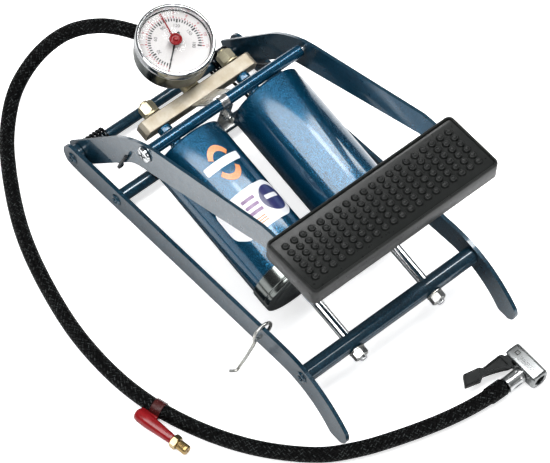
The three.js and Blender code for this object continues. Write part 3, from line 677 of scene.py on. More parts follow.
def spring_points(side):
    """The coil with its leg on the tie tube, and the leg that goes under the arm and up outside it."""
    turns, per_turn, pitch, near, radius = 6, 24, 3.0, 66.5, 6.5
    coil = []
    for i in range(turns * per_turn + 1):
        a = 2 * math.pi * i / per_turn - 0.7
        x = near - pitch * i / per_turn
        coil.append((x, PIVOT[0] + radius * math.cos(a), PIVOT[1] + radius * math.sin(a)))
    rest = TIE[1] + TIE_RADIUS + SPRING_WIRE + 0.3
    tail = [(near - pitch * turns - 0.6, 20, rest - 2.6), (near - pitch * turns - 0.6, TIE[0] + 7, rest)]
    leg = [
        coil[0], (66.8, 24, 24), (67.4, 40.5, 39.5), (69.5, 44.2, 43.2), (72.6, 45.6, 44.6),
        (74.4, 46.6, 47.6), (74.5, 50, 57), (74.5, 54.5, 70),
    ]
    return [[(side * x, -u, z) for x, u, z in part] for part in (coil + tail, leg)]


def build_springs():
    for side, name in SIDES:
        turns, leg = spring_points(side)
        wire, _ = swept(through(turns, 3), SPRING_WIRE, 10)
        piece(f"{name}_coil", wire, DESIGN, "frame", SPRING, "spring_wire", f"{name}_return_spring")
        wire, _ = swept(through(leg, 10), SPRING_WIRE, 10)
        arm = piece(f"{name}_spring_leg", wire, DESIGN, None, SPRING, "spring_wire")
        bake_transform(arm)


def build_frame():
    rail = slab(rail_outline(), RAIL["thick"])
    for side, name in SIDES:
        place = DESIGN @ at(side * RAIL["spacing"] / 2, 0, 0)
        piece(f"{name}_rail_bar", rail, place, "frame", PAINT, "blue_paint", f"{name}_rail", 0.55)
        for member, where in (("rear", PIVOT), ("tie", TIE), ("front", FRONT)):
            flared_rivet(side, f"{name}_{member}_flare", where, f"{name}_{member}_rivet")
        low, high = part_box(f"{name}_pivot_washer")
        half = (high.x - low.x) / MM / 2
        ring = turned([(4.3, -half), (8, -half), (8, half), (4.3, half)], 40, 0.3, True)
        place = Matrix.Translation((low + high) / 2) @ Matrix.Scale(MM, 4) @ ALONG_X
        piece(f"{name}_washer", ring, place, "frame", PAINT, "plated_steel", f"{name}_pivot_washer")
    cross_tube("rear_axle_tube", 4.0, PIVOT, "rear_axle")
    cross_tube("tie_tube", TIE_RADIUS, TIE, "middle_tie_tube")
    build_springs()


# Foot lever
def arm_outline():
    out = [(-13.5, 8.6), (-11, 4.4)]
    out += arc((PIVOT[0], PIVOT[1] + 0.3), 9.9, 212, 320, 12)
    out += [(55, 61)]
    out += curve((55, 61), (61, 68), (70, 71.4))
    out += [(192, 122.5)]
    out += curve((192, 122.5), (212, 130), (224, 121))
    out += [(231, 118)]
    out += curve((231, 118), (240, 110.5), (246, 113.5))
    out += curve((246, 113.5), (251, 118), (248, 126))
    out += curve((248, 126), (243, 147.5), (222, 147.5))
    out += [(202, 147.2), (194, 146), (92, 109)]
    out += curve((92, 109), (62, 99.5), (40, 75), 16)
    return out


def rounded_rectangle(width, depth, corner, steps=6):
    w, d = width / 2 - corner, depth / 2 - corner
    out = []
    for x, y, start in ((w, -d, -90), (w, d, 0), (-w, d, 90), (-w, -d, 180)):
        out += arc((x, y), corner, start, start + 90, steps)
    return out


def pad_shell():
    """The pad's outer wall, its raised rim, the sunk studded floor and the hollow underneath."""
    w, d, high = PEDAL["width"], PEDAL["depth"], PEDAL["height"]
    rows = [
        (-6.0, -4.2, 2.0), (-6.0, -high, 2.0), (-3.0, -high, 3.4), (-0.6, -high, 4.2),
        (0.0, -high + 0.6, 4.4), (0.0, -1.6, 4.4), (-0.5, -0.5, 4.2), (-1.3, 0.0, 3.8), (-3.0, 0.0, 3.0),
        (-3.8, -0.35, 2.6),
        (-4.2, -1.1, 2.4), (-4.5, -1.8, 2.2), (-5.4, -2.0, 1.9),
    ]
    rings = []
    for grow, z, corner in rows:
        rings.append([(x, y, z) for x, y in rounded_rectangle(w + grow, d + grow, corner)])
    return skin(rings)


def stud():
    r, h = STUD["radius"], STUD["height"]
    dish = [(r - 0.55, h), (r - 0.95, h), (r - 1.3, h - 0.5), (0, h - 0.55)]
    return turned([(r + 0.3, -0.1), (r + 0.05, 0.25), (r - 0.2, h - 0.4), *dish], 24, 0.2)


def build_lever():
    arm = slab(arm_outline(), ARM["thick"])
    for side, name in SIDES:
        place = DESIGN @ at(side * ARM["spacing"] / 2, 0, 0)
        piece(f"{name}_arm_plate", arm, place, "lever", PAINT, "blue_paint", f"{name}_arm", 0.45)
    low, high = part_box("pedal_plate")
    size = (high - low) / MM
    place = Matrix.Translation((low + high) / 2) @ Matrix.Scale(MM, 4)
    piece("pedal_base", block(*size), place, "lever", PAINT, "blue_paint", "pedal_plate", 0.6)
    place = DESIGN @ at(0, -PEDAL["middle"], PEDAL["top"])
    piece("pad_shell", pad_shell(), place, "lever", RUBBER, "black_rubber", "pedal_pad")
    studs = []
    one = stud()
    for i in range(STUD["columns"]):
        for j in range(STUD["rows"]):
            x = (i - (STUD["columns"] - 1) / 2) * STUD["pitch_x"]
            y = (j - (STUD["rows"] - 1) / 2) * STUD["pitch_u"]
            studs.append((at(x, y + 0.5, -2.0) @ ALONG_Z, one))
    piece("pad_studs", merged(*studs), place, "lever", RUBBER, "black_rubber")


# Rods
def threaded(radius, start, end, pitch=0.8):
    """A turned stretch with thread-like ridges; the profile runs from the tip inwards."""
    out = [(0, start), (radius - 0.7, start), (radius - 0.1, start + 0.5)]
    y = start + 0.6
    while y + pitch < end:
        out += [(radius, y), (radius - 0.3, y + pitch / 2)]
        y += pitch
    return out + [(radius, end)]


def build_rods():
    tube = rod(6.5, -TUBE_HALF, TUBE_HALF, 64)
    piece("front_cross_tube", tube, PUMP @ ALONG_X, "rods", PAINT, "blue_paint", "front_tube")
    for side, name in SIDES:
        place = PUMP @ at(side * BARREL["offset"], 0, 0)
        bar = turned(threaded(2.9, -15.5, -5.0) + [(3.95, -4.6), (3.95, 140), (0, 140)], 40, 0.0)
        piece(f"{name}_rod_bar", bar, place, "rods", CHROME, "chrome", f"{name}_rod")
        nut = together(hexagon(5.1, -13.3, -7.6), rod(6.2, -7.7, -6.75, 40, 0.2))
        piece(f"{name}_hex_nut", nut, place, "rods", ZINC, "plated_steel", f"{name}_rod_nut")
        for node, material in ((f"{name}_piston", ZINC), (f"{name}_piston_seal", RUBBER)):
            recoat(node, material)


def recoat(node, material):
    """Gives a CAD node that stays in view, or sits inside the pump, its finish."""
    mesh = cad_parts[node].data
    mesh.materials.clear()
    mesh.materials.append(material)


# Barrels and head
def on_barrel(angle, s, lift):
    """A point over the left barrel's wall: angle in degrees from its top line, positive towards +x."""
    a, r = math.radians(angle), BARREL["radius"] + lift
    return (r * math.sin(a) - BARREL["offset"], s, r * math.cos(a))


def patch(outline, lift):
    """A thin film on the left barrel from an outline in (angle, s), filled from its middle by rings that
    are close enough to follow the wall. The outermost one dips to close the film's edge."""
    cx = sum(p[0] for p in outline) / len(outline)
    cy = sum(p[1] for p in outline) / len(outline)
    rings = []
    levels = [(1.0, lift - 0.06)] + [(1.0 - k / 16, lift) for k in range(16)]
    for share, high in levels:
        rings.append([on_barrel(cx + (a - cx) * share, cy + (s - cy) * share, high) for a, s in outline])
    rings.append([on_barrel(cx, cy, lift)])
    return skin(rings)


def dense(outline, step=2.0):
    """An outline with points added, so that none are further apart than a step of about 2 mm."""
    out = []
    for (a0, s0), (a1, s1) in zip(outline, outline[1:] + outline[:1]):
        n = max(1, int(math.hypot((a1 - a0) * 0.5, s1 - s0) / step))
        out += [(a0 + (a1 - a0) * k / n, s0 + (s1 - s0) * k / n) for k in range(n)]
    return out


def ellipse(cx, cy, rx, ry, start=0, end=360, steps=48):
    out = []
    for i in range(steps + (0 if end - start == 360 else 1)):
        a = math.radians(start + (end - start) * i / steps)
        out.append((cx + rx * math.cos(a), cy + ry * math.sin(a)))
    return out


def ring_patch(cx, cy, rx, ry, share, start, end, lift):
    """Part of an elliptical band on the left barrel."""
    outer = ellipse(cx, cy, rx, ry, start, end, 28)
    inner = ellipse(cx, cy, rx * share, ry * share, start, end, 28)
    rows = []
    for points, high in ((outer, lift - 0.04), (outer, lift), (inner, lift), (inner, lift - 0.04)):
        rows.append([on_barrel(a, s, high) for a, s in points])
    n = len(outer)
    faces = []
    for row in range(3):
        faces += [(i, i + 1, i + n + 1, i + n) for i in range(row * n, row * n + n - 1)]
    return [p for row in rows for p in row], faces


def mark(name, outline, lift, material, slot):
    on_head(name, patch(outline, lift), PUMP, material, slot)


def oblong(left, right, top, bottom):
    return [(left, top), (right, top), (right, bottom), (left, bottom)]


def build_labels():
    """Plain marks without any lettering: a broken orange ring with a bar, and a white film with a disc."""
    film = [(-56, 124), (40, 125.5), (60, 120), (60, 101), (40, 94), (-38, 93), (-56, 101)]
    mark("label_film", dense(soften(film, 6.0, True, 8)), 0.10, LABEL, "white_dial")
    mark("label_disc", ellipse(34, 110.3, 22.5, 11.0), 0.16, NAVY, "blue_paint")
    mark("label_disc_bar", dense(soften(oblong(20, 48, 113.5, 110), 1.5, True)), 0.2, LABEL, "white_dial")
    for k, s in enumerate((117, 111.6, 106.6)):
        bar = soften(oblong(-15, 7, s + 1.3, s - 1.3), 0.9, True)
        mark(f"label_bar_{k}", dense(bar), 0.15, PURPLE, "blue_paint")
    for k in range(3):
        s = 101.6 - 1.9 * k
        mark(f"label_line_{k}", dense(oblong(-12, 3, s + 0.4, s - 0.4)), 0.15, ORANGE, "red_plastic")
    for k, (start, end) in enumerate(((28, 152), (208, 332))):
        band = ring_patch(6.0, 148.5, 19.5, 14.9, 0.66, start, end, 0.12)
        on_head(f"emblem_arc_{k}", band, PUMP, ORANGE, "red_plastic")
    bar = soften([(-26, 152.5), (38, 152.5), (36, 146), (-26, 146)], 2.2, True)
    mark("emblem_bar", dense(bar), 0.14, LABEL, "white_dial")


def barrel_shell():
    r, start, end, wall = BARREL["radius"], BARREL["start"], BARREL["end"], 1.5
    inner = r - wall
    outside = [(inner, start), (r, start), (r, end), (0, end)]
    return turned(outside + [(0, end - 2), (inner, end - 2), (inner, start)], 128, 1.8)


def front_cap():
    """A cup over the barrel's front end, with a rolled bead and a bore for the rod."""
    r, start, bore, cup = CAP["radius"], CAP["start"], 4.3, BARREL["radius"] + 0.3
    profile = [
        (bore, start + 0.8), (8, start + 0.8), (9, start), (22, start), (23.5, start + 0.9),
        (r - 0.3, start + 0.9), (r - 0.1, start + 4), (r - 0.5, start + 4.4), (r - 0.5, start + 5.2),
        (r, start + 5.6), (r, CAP["end"]), (cup, CAP["end"]), (cup, BARREL["start"] - 0.3),
        (bore, BARREL["start"] - 9.3),
    ]
    return turned(profile, 128, 0.7, True)


def outlet_neck():
    start, end = BARREL["end"] + 0.3, BAR["s"] - BAR["depth"] / 2 - 0.3
    flare = [(2.2, start), (5.2, start), (5.2, start + 9), (4.4, start + 9.6)]
    return turned(flare + [(4.4, end - 5.2), (5.2, end - 4.8), (5.2, end), (2.2, end)], 48, 0.4, True)


def hollow_bolt():
    seat = BAR["depth"] / 2 + 0.3
    tip = turned([(0, seat + 10), (3.2, seat + 10), (3.2, seat + 12), (0, seat + 12.2)], 32, 0.5)
    return together(hexagon(5.55, seat + 1.5, seat + 10.2, 0.2), tip, rod(6.6, seat, seat + 1.6, 48, 0.3))


def cross_screw(name, place):
    """A screw in the end of the head axle, with a cross recess in its head."""
    start, face = AXLE["half"] + 0.3, ARM["spacing"] / 2 + ARM["thick"] / 2
    profile = [
        (0, start), (2.4, start), (2.4, face + 0.5), (6.4, face + 0.5), (6.4, face + 1.3), (5.6, face + 2.6),
        (3.6, face + 3.1), (0, face + 3.2),
    ]
    shape = turned(profile, 48, 0.3)
    screw = on_head(f"{name}_cross_screw", shape, place, CHROME, "plated_steel", f"{name}_axle_screw")
    spot = place @ at(0, face + 3.0, 0) @ Matrix.Rotation(math.radians(35), 4, "Y")
    long, wide, deep = 6.8, 1.5, 3.4
    carve(screw, (block(long, deep, wide), spot), (block(wide, deep, long), spot))


def build_barrels():
    shell, cap, neck, bolt = barrel_shell(), front_cap(), outlet_neck(), hollow_bolt()
    for side, name in SIDES:
        place = PUMP @ at(side * BARREL["offset"], 0, 0)
        on_head(f"{name}_barrel_shell", shell, place, LACQUER, "blue_lacquer", f"{name}_barrel")
        on_head(f"{name}_front_cap", cap, place, DIMMED_CHROME, "chrome", f"{name}_barrel_cap")
        spot = place @ at(0, 0, BAR["h"])
        on_head(f"{name}_outlet_neck", neck, spot, LACQUER, "blue_lacquer", f"{name}_outlet")
        spot = PUMP @ at(side * BARREL["offset"], BAR["s"], BAR["h"])
        on_head(f"{name}_hollow_bolt", bolt, spot, YELLOW_ZINC, "cast_zinc", f"{name}_banjo_bolt")
        near = side * COLLAR["x"] + COLLAR["half"] + 0.3
        tube = turned([(3.8, near), (4.5, near), (4.5, 68), (3.8, 68)], 48, 0.2, True)
        spot = HEAD_AXLE @ Matrix.Rotation(-side * math.pi / 2, 4, "Z")
        on_head(f"{name}_sleeve", tube, spot, LACQUER, "blue_lacquer", f"{name}_axle_sleeve")
        cross_screw(name, spot)


def build_bar():
    w, h, c, d = BAR["half"], BAR["height"] / 2, BAR["chamfer"], BAR["depth"] / 2
    face = [(-w, -h), (w, -h), (w, h - c), (w - c, h), (-w + c, h), (-w, h - c)]
    bar = skin([[(x, y, z) for x, z in face] for y in (-d, d)])
    place = PUMP @ at(0, BAR["s"], BAR["h"])
    on_head("cast_bar", bar, place, CAST, "cast_zinc", "manifold_bar", 0.8)
    build_tee(place)


def build_bracket():
    """Sheet bracket: a rolled ring on the axle, a tang down to a foot, and a plate back to the bar."""
    r, a, b = COLLAR["radius"], COLLAR["x"] - COLLAR["half"], COLLAR["x"] + COLLAR["half"]
    profile = [
        (3.8, a), (r, a), (r, a + 1.4), (r - 0.3, a + 1.7), (r - 0.3, b - 1.7), (r, b - 1.4), (r, b),
        (3.8, b),
    ]
    ring = turned(profile, 48, 0.25, True)
    on_head("centre_collar", ring, HEAD_AXLE @ ALONG_X, SATIN, "plated_steel", "centre_bracket")
    front, thick, top, foot = 183.2, 2.0, 18.6, -3.0
    neck = (at(COLLAR["x"], front + 0.4, 20.4), block(2 * COLLAR["half"], thick, 4))
    tang = (at(0, front, (top + foot) / 2), block(10, thick, top - foot))
    lip = (at(0, front - 4, foot), block(10, 8, 1.6))
    edge = (at(4.4, front - 3, foot + 3), block(1.4, 6, 6))
    on_head("centre_tang", merged(neck, tang, lip, edge), PUMP, ZINC, "plated_steel", edge=0.4)
    nut = together(hexagon(3.4, -3.2, 0), rod(1.7, -4.6, -3, 24))
    on_head("centre_nut", nut, PUMP @ at(0.6, front - thick / 2, 8), ZINC, "plated_steel")
    (s0, h0), (s1, h1) = (191.6, 19.6), (204.2, -2.8)
    slope = Matrix.Rotation(math.atan2(h1 - h0, s1 - s0), 4, "X")
    long = math.hypot(s1 - s0, h1 - h0)
    plate = (at(0, (s0 + s1) / 2, (h0 + h1) / 2) @ slope, block(22, long, 1.6))
    bridge = (at(COLLAR["x"], AXLE["s"] + 4.6, AXLE["h"] - 4.4), block(2 * COLLAR["half"], 5, 1.6))
    on_head("centre_plate", merged(plate, bridge), PUMP, ZINC, "plated_steel", edge=0.4)


def build_head():
    axle = rod(AXLE["radius"], -AXLE["half"], AXLE["half"], 40, 0.3)
    on_head("head_axle_rod", axle, HEAD_AXLE @ ALONG_X, CHROME, "chrome", "head_axle")
    build_bracket()
    build_bar()


def build_tee(place):
    run = rod(6.5, BAR["depth"] / 2 + 0.3, 250 - BAR["s"], 48, 0.5)
    on_head("tee_run", run, place, YELLOW_ZINC, "cast_zinc", "tee")
    stem = rod(5.5, 0, GAUGE["bottom"] - 0.3 - BAR["h"], 48, 0.3)
    upright = place @ at(0, GAUGE["s"] - BAR["s"], 0) @ ALONG_Z
    on_head("tee_stem", stem, upright, YELLOW_ZINC, "cast_zinc")
    spot = PUMP @ at(0, 0, BAR["h"])
    crimp = [
        (5.9, 251), (6.6, 251), (6.6, 253.4), (6.3, 254), (6.6, 254.6), (6.6, 258), (6.3, 258.6),
        (6.6, 259.2), (6.6, 262), (5.9, 262),
    ]
    on_head("hose_collar", turned(crimp, 48, 0.2, True), spot, ZINC, "plated_steel", "hose_crimp")


# Gauge: local z points out of the dial
def build_gauge():
    place = PUMP @ at(0, GAUGE["s"], 0) @ ALONG_Z
    r, low, top = GAUGE["radius"], GAUGE["bottom"], GAUGE["rim"]
    case = [
        (2.2, low), (r - 2.6, low), (r - 0.8, low + 0.8), (r, low + 2.6), (r, top - 3.5),
        (r - 1.4, top - 3.5), (r - 1.4, low + 4.2), (2.2, low + 4.2),
    ]
    on_head("gauge_can", turned(case, 128, 0.8, True), place, DIMMED_CHROME, "chrome", "gauge_case")
    outer, inner = r + 1.2, r - 1.75
    bezel = [
        (r + 0.3, top - 8), (outer, top - 8), (outer, top - 6.9), (outer - 0.3, top - 6.6),
        (outer - 0.3, top - 2.2), (outer, top - 1.9), (outer, top - 1.2), (outer - 0.4, top - 0.5),
        (outer - 1.1, top - 0.05), (outer - 1.9, top), (outer - 2.4, top - 0.5), (inner + 0.2, top - 0.9),
        (inner, top - 1.6), (inner, 21.2), (inner + 0.35, 21.2), (inner + 0.35, top - 3.3),
        (r + 0.3, top - 3.3),
    ]
    on_head("gauge_rim", turned(bezel, 128, 0.2, True), place, CHROME, "chrome", "gauge_bezel")
    # A thin black ring at the dial's edge: painted shadow of the gap between dial and bezel.
    lip = inner - 0.45
    shadow_ring = turned([(lip, 21.1), (inner, 21.1), (inner, 21.7), (lip, 21.5)], 96, 0.1, True)
    on_head("dial_edge_shadow", shadow_ring, place, INK, "black_rubber")
    dial = [(1.3, 20.2), (inner, 20.2), (inner, 21.1), (1.3, 21.1)]
    on_head("dial_card", turned(dial, 96, 0.1, True), place, DIAL, "white_dial", "gauge_dial")
    lens = [(1.6, 24.6), (inner, 24.6), (inner, 25.3), (inner - 2, 25.9), (1.6, 25.9)]
    on_head("dial_lens", turned(lens, 96, 0.3, True), place, LENS, "clear_lens", "gauge_lens")
    recoat("bourdon_tube", BRASS)
    build_dial_marks(PUMP @ at(0, GAUGE["s"], 0))
    build_pointers(PUMP @ at(0, GAUGE["s"], 0))


def tick(turn, near, far, width):
    spin = Matrix.Rotation(math.radians(turn), 4, "Z")
    return (spin @ at(0, (near + far) / 2, 21.13), block(width, far - near, 0.1))


def numeral(text, turn, radius, size):
    """The outline of a number, standing upright towards the dial's rim."""
    font = bpy.data.curves.new("numeral", "FONT")
    font.body = text
    font.size = size
    font.align_x = "CENTER"
    font.align_y = "CENTER"
    font.extrude = 0.04
    holder = bpy.data.objects.new("numeral", font)
    bpy.context.scene.collection.objects.link(holder)
    bpy.context.view_layer.update()
    mesh = bpy.data.meshes.new_from_object(holder.evaluated_get(bpy.context.evaluated_depsgraph_get()))
    shape = ([tuple(v.co) for v in mesh.vertices], [tuple(p.vertices) for p in mesh.polygons])
    bpy.data.objects.remove(holder)
    bpy.data.meshes.remove(mesh)
    a = math.radians(turn)
    spot = Vector((-math.sin(a) * radius, math.cos(a) * radius, 21.15))
    return (Matrix.Translation(spot) @ Matrix.Rotation(a, 4, "Z"), shape)


def scale(steps, every, long_tick, short_tick, numbers, radius, size):
    """Ticks in even steps over the dial, every few of them long, and numbers spread over the same sweep."""
    marks = []
    for i in range(steps + 1):
        near, far, width = short_tick if i % every else long_tick
        marks.append(tick(SCALE_START - SCALE_SWEEP * i / steps, near, far, width))
    for i, number in enumerate(numbers):
        turn = SCALE_START - SCALE_SWEEP * i / (len(numbers) - 1)
        marks.append(numeral(str(number), turn, radius, size))
    return merged(*marks)


def build_dial_marks(place):
    black = scale(42, 7, (16.2, 19.2, 1.2), (17.0, 19.2, 0.9), range(0, 181, 30), 13.6, 3.4)
    red = scale(44, 4, (19.5, 21.3, 0.8), (19.5, 20.5, 0.6), range(12), 23.2, 3.2)
    on_head("dial_inner_scale", black, place, INK, "black_plastic")
    on_head("dial_outer_scale", red, place, RED_INK, "red_plastic")
    pin = turned([(0, 21.0), (1.2, 21.0), (1.2, 22.4), (0, 22.6)], 24, 0.2)
    on_head("stop_pin", pin, place @ at(6.4, 4.3, 0) @ ALONG_Z, INK, "black_plastic")


def pointer(length, tail, width, thick):
    outline = [(-width, -tail), (width, -tail), (0.3, length), (-0.3, length)]
    return skin([[(x, y, z) for x, y in outline] for z in (0, thick)])


def build_pointers(place):
    low = 22.0
    spin = Matrix.Rotation(math.radians(SCALE_START), 4, "Z")
    profile = [(0, 14.2), (1, 14.2), (1, low + 0.2), (2.2, low + 0.2), (2.2, low + 0.9), (0, low + 1.1)]
    spindle = turned(profile, 32, 0.15)
    needle = merged((spin @ at(0, 0, low), pointer(21.4, 6, 0.85, 0.45)), (ALONG_Z, spindle))
    piece("black_needle", needle, place, "needle", INK, "black_plastic", "gauge_needle")
    spin = Matrix.Rotation(math.radians(MARKER_TURN), 4, "Z")
    blade = pointer(23.7, 0, 0.75, 0.4)
    knob = [
        (0, 23.6), (1.2, 23.6), (1.2, 26.1), (4.4, 26.1), (4.7, 26.6), (4.5, 27.7), (3.9, 28.1), (3.3, 27.7),
        (3.0, 27.0), (1.9, 26.9), (1.7, 28.2), (1.2, 28.6), (0, 28.7),
    ]
    hand = merged((spin @ at(0, 0, 23.6), blade), (ALONG_Z, turned(knob, 48, 0.3)))
    piece("red_marker", hand, place, "marker", RED, "red_plastic", "gauge_marker")


# Hose, chuck, clip
def on_pump(x, s, h):
    return DESIGN.inverted() @ PUMP @ Vector((x, s, h))


def hose_points():
    out = [on_pump(0, 250.5, BAR["h"]), on_pump(0, 258, BAR["h"]), on_pump(0, 266, BAR["h"])]
    out += [(-5, 22, 75.5), (-17, 44, 69.5), (-33, 63, 55), (-53, 73, 34), (-76, 70, 15.5), (-99, 51, 7.4)]
    floor = [(-119, -24), (-145, 25), (-161, 77), (-168.5, 125), (-166.5, 175), (-154, 219), (-131, 261)]
    floor += [(-100, 294), (-77, 307.5), (-52, 317.3), (-16, 328), (12, 333)]
    out += [(x, -u, HOSE["floor"]) for x, u in floor]
    out.append((34, -334.4, HOSE["floor"] + 0.5))
    return through(out, 20)


def sleeve_radius(share):
    return 5.7 if share < 0.03 or share > 0.97 else 6.3


def build_hose():
    sides = 32
    path = hose_points()
    shape, lengths = swept(path, HOSE["radius"], sides)
    hose = piece("braided_hose", shape, DESIGN, None, BRAID, "hose_cover", "hose")
    braid_map(hose, lengths, sides)
    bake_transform(hose)
    start = next(i for i, p in enumerate(path) if (p - path[-1]).length < HOSE["sleeve"])
    shape, lengths = swept(path[start:], sleeve_radius, sides)
    sleeve = on_hose("hose_end_sleeve", shape, DESIGN, BRAID, "hose_cover")
    braid_map(sleeve, lengths, sides)
    return path


def braid_map(thing, lengths, sides):
    """Writes the braid's map: share round the hose, and millimetres along it."""
    layer = thing.data.uv_layers.new(name="braid")
    for face in thing.data.polygons:
        loops = [(thing.data.loops[i].vertex_index, i) for i in face.loop_indices]
        columns = [v % sides for v, _ in loops]
        wrap = 0 in columns and sides - 1 in columns and len(loops) == 4
        for v, i in loops:
            column = v % sides
            around = (sides if wrap and column == 0 else column) / sides
            layer.data[i].uv = (around, lengths[v // sides])


def build_ferrule():
    """A chromed sleeve with long flutes, rounded at both ends, sunk into its skin."""
    r, bore, start, end = (FERRULE[key] for key in ("radius", "bore", "from", "to"))
    flutes, half, reach, depth = 7, 1.5, 4.4, 0.8
    centre = (start + end) / 2 + 0.6

    def radius_at(angle, radius, y):
        if radius < r:
            return radius
        step = 2 * math.pi / flutes
        off = ((angle + step / 2) % step - step / 2) * r
        gap = math.hypot(off, max(abs(y - centre) - reach + half, 0)) / half
        share = min(max((1.0 - gap) / 0.4, 0), 1)
        return radius - depth * share * share * (3 - 2 * share)

    rows = [(bore, start), (r - 0.5, start), (r - 0.15, start + 0.12), (r - 0.01, start + 0.4)]
    rows += [(r, start + 0.6 + 0.3 * i) for i in range(int((end - start - 1.2) / 0.3) + 1)]
    rows += [(r - 0.01, end - 0.4), (r - 0.15, end - 0.12), (r - 0.5, end), (bore, end)]
    place = DESIGN @ at(0, -FERRULE["u"], CHUCK["z"]) @ ALONG_X
    sleeve = skin(shaped(rows, radius_at, 144), True)
    on_hose("fluted_ferrule", sleeve, place, SATIN, "chrome", "chuck_ferrule")


def rounded_square(half, sides=96, power=3.2):
    out = []
    for i in range(sides):
        c, n = math.cos(2 * math.pi * i / sides), math.sin(2 * math.pi * i / sides)
        r = half / (abs(c) ** power + abs(n) ** power) ** (1 / power)
        out.append((r * c, r * n))
    return out


def clipped(loop, axis, limit, above):
    """The part of a convex outline on one side of a line square to an axis."""
    out = []
    inside = (lambda p: p[axis] >= limit) if above else (lambda p: p[axis] <= limit)
    for a, b in zip(loop, loop[1:] + loop[:1]):
        if inside(a):
            out.append(a)
        if inside(a) != inside(b):
            t = (limit - a[axis]) / (b[axis] - a[axis])
            cut = [a[0] + (b[0] - a[0]) * t, a[1] + (b[1] - a[1]) * t]
            cut[axis] = limit
            out.append(tuple(cut))
    return out


def build_chuck():
    """A bored block with rounded sides. Round the lever's pivot it is split into floor, roof and wall."""
    r, tail, mouth, bore = CHUCK["radius"], CHUCK["tail"], CHUCK["mouth"], CHUCK["bore"]
    edge = THUMB["eye"] + 0.4
    back = THUMB["u"] + edge
    low, high = THUMB["lift"] - THUMB["thick"] / 2 - 0.4, THUMB["lift"] + THUMB["thick"] / 2 + 0.4
    circle = [(math.cos(2 * math.pi * i / 96), math.sin(2 * math.pi * i / 96)) for i in range(96)]
    square = rounded_square(1.0)
    front = (
        (circle, bore, -mouth + 16), (circle, bore, -mouth + 0.7), (circle, bore + 0.6, -mouth),
        (square, r - 1.3, -mouth), (square, r - 0.6, -mouth + 0.4), (square, r - 0.1, -mouth + 1.4),
        (square, r, -mouth + 2.2), (square, r, -back),
    )
    full = rounded_square(r)

    def shrunk(loop, size, y):
        """A smaller copy whose cut edges stay where the lever has to pass."""
        out = []
        for x, z in loop:
            if z >= high:
                z = max(z * size, high)
            elif z < low:
                z = min(z * size, low)
            out.append((side if x == side else x * size, y, z))
        return out

    side = THUMB["x"] - CHUCK["x"] + edge
    floor = clipped(full, 1, low, False)
    roof = clipped(full, 1, high, True)
    wall = clipped(clipped(clipped(full, 1, low, True), 1, high, False), 0, side, True)
    ends = ((1.0, -back), (1.0, -tail - 1.8), (0.985, -tail - 1.0), (0.93, -tail - 0.3), (0.85, -tail))
    parts = [skin([[(x * size, y, z * size) for x, z in loop] for loop, size, y in front])]
    parts += [skin([shrunk(loop, size, y) for size, y in ends]) for loop in (floor, roof, wall)]
    place = DESIGN @ at(CHUCK["x"], 0, CHUCK["z"])
    on_hose("chuck_body", together(*parts), place, DIECAST, "chrome", "valve_chuck")
    neck = rod(4.2, FERRULE["from"] + 0.6, CHUCK["x"] - 5.6, 40, 0.2)
    on_hose("chuck_neck", neck, DESIGN @ at(0, -FERRULE["u"], CHUCK["z"]) @ ALONG_X, CHROME, "chrome")
    recoat("chuck_seal", RUBBER)
    pin = merged(
        (ALONG_Z, rod(1.3, -4.9, 7.0, 24, 0.15)),
        (at(0, 0, 7.25), block(3.3, 0.5, 0.3)),
        (at(0, -2.8, 7.25), block(3.3, 0.5, 0.3)),
        (at(-1.4, -1.4, 7.25), block(0.5, 3.3, 0.3)),
        (at(1.4, -1.4, 7.25), block(0.5, 3.3, 0.3)),
    )
    spot = DESIGN @ at(THUMB["x"], -THUMB["u"], CHUCK["z"])
    on_hose("lever_pin", pin, spot, DIMMED_CHROME, "plated_steel", "thumb_pin")


def build_thumb():
    """The lever: a hub in the chuck, a tapered blade with a sunk channel, and a thumb tab."""
    t, eye = THUMB["thick"], THUMB["eye"]
    outline = arc((0, 0), eye, -90, 90, 14) + [(-7.4, eye), (-8.4, 5.6), (-11, 6.3), (-26.4, 5.9)]
    outline += [(-27.6, 7.9), (-40.2, 10.6), (-45.6, 2.4), (-33.6, -0.9), (-30, 1.3)]
    outline += curve((-30, 1.3), (-19, -1.8), (-12, -5.6)) + [(-8.4, -6.2), (-7.4, -eye)]
    outline = soften(outline, 1.0, True, 4)
    blade = skin([[(x, y, z) for x, y in outline] for z in (-t / 2, t / 2)])
    place = DESIGN @ at(THUMB["x"], -THUMB["u"], CHUCK["z"] + THUMB["lift"])
    thing = piece("thumb_blade", blade, place, "thumb", BLACK, "black_plastic", "thumb_lever", 0.45)
    channel = [(-25.6, 4.6), (-10.5, 5.0), (-10.5, -3.6), (-13, -3.4), (-20, -0.2), (-26, 2.6)]
    pocket = skin([[(x, y, z) for x, y in soften(channel, 0.8, True)] for z in (t / 2 - 1.2, t / 2 + 1)])
    carve(thing, (pocket, place))
    tab = soften([(-28.4, 7.6), (-40.0, 10.2), (-44.9, 2.6), (-33.9, -0.4)], 1.4, True)
    pad = skin([[(x, y, z) for x, y in tab] for z in (t / 2 - 0.2, t / 2 + 0.7)])
    piece("thumb_tab", pad, place, "thumb", BLACK, "black_plastic", edge=0.35)


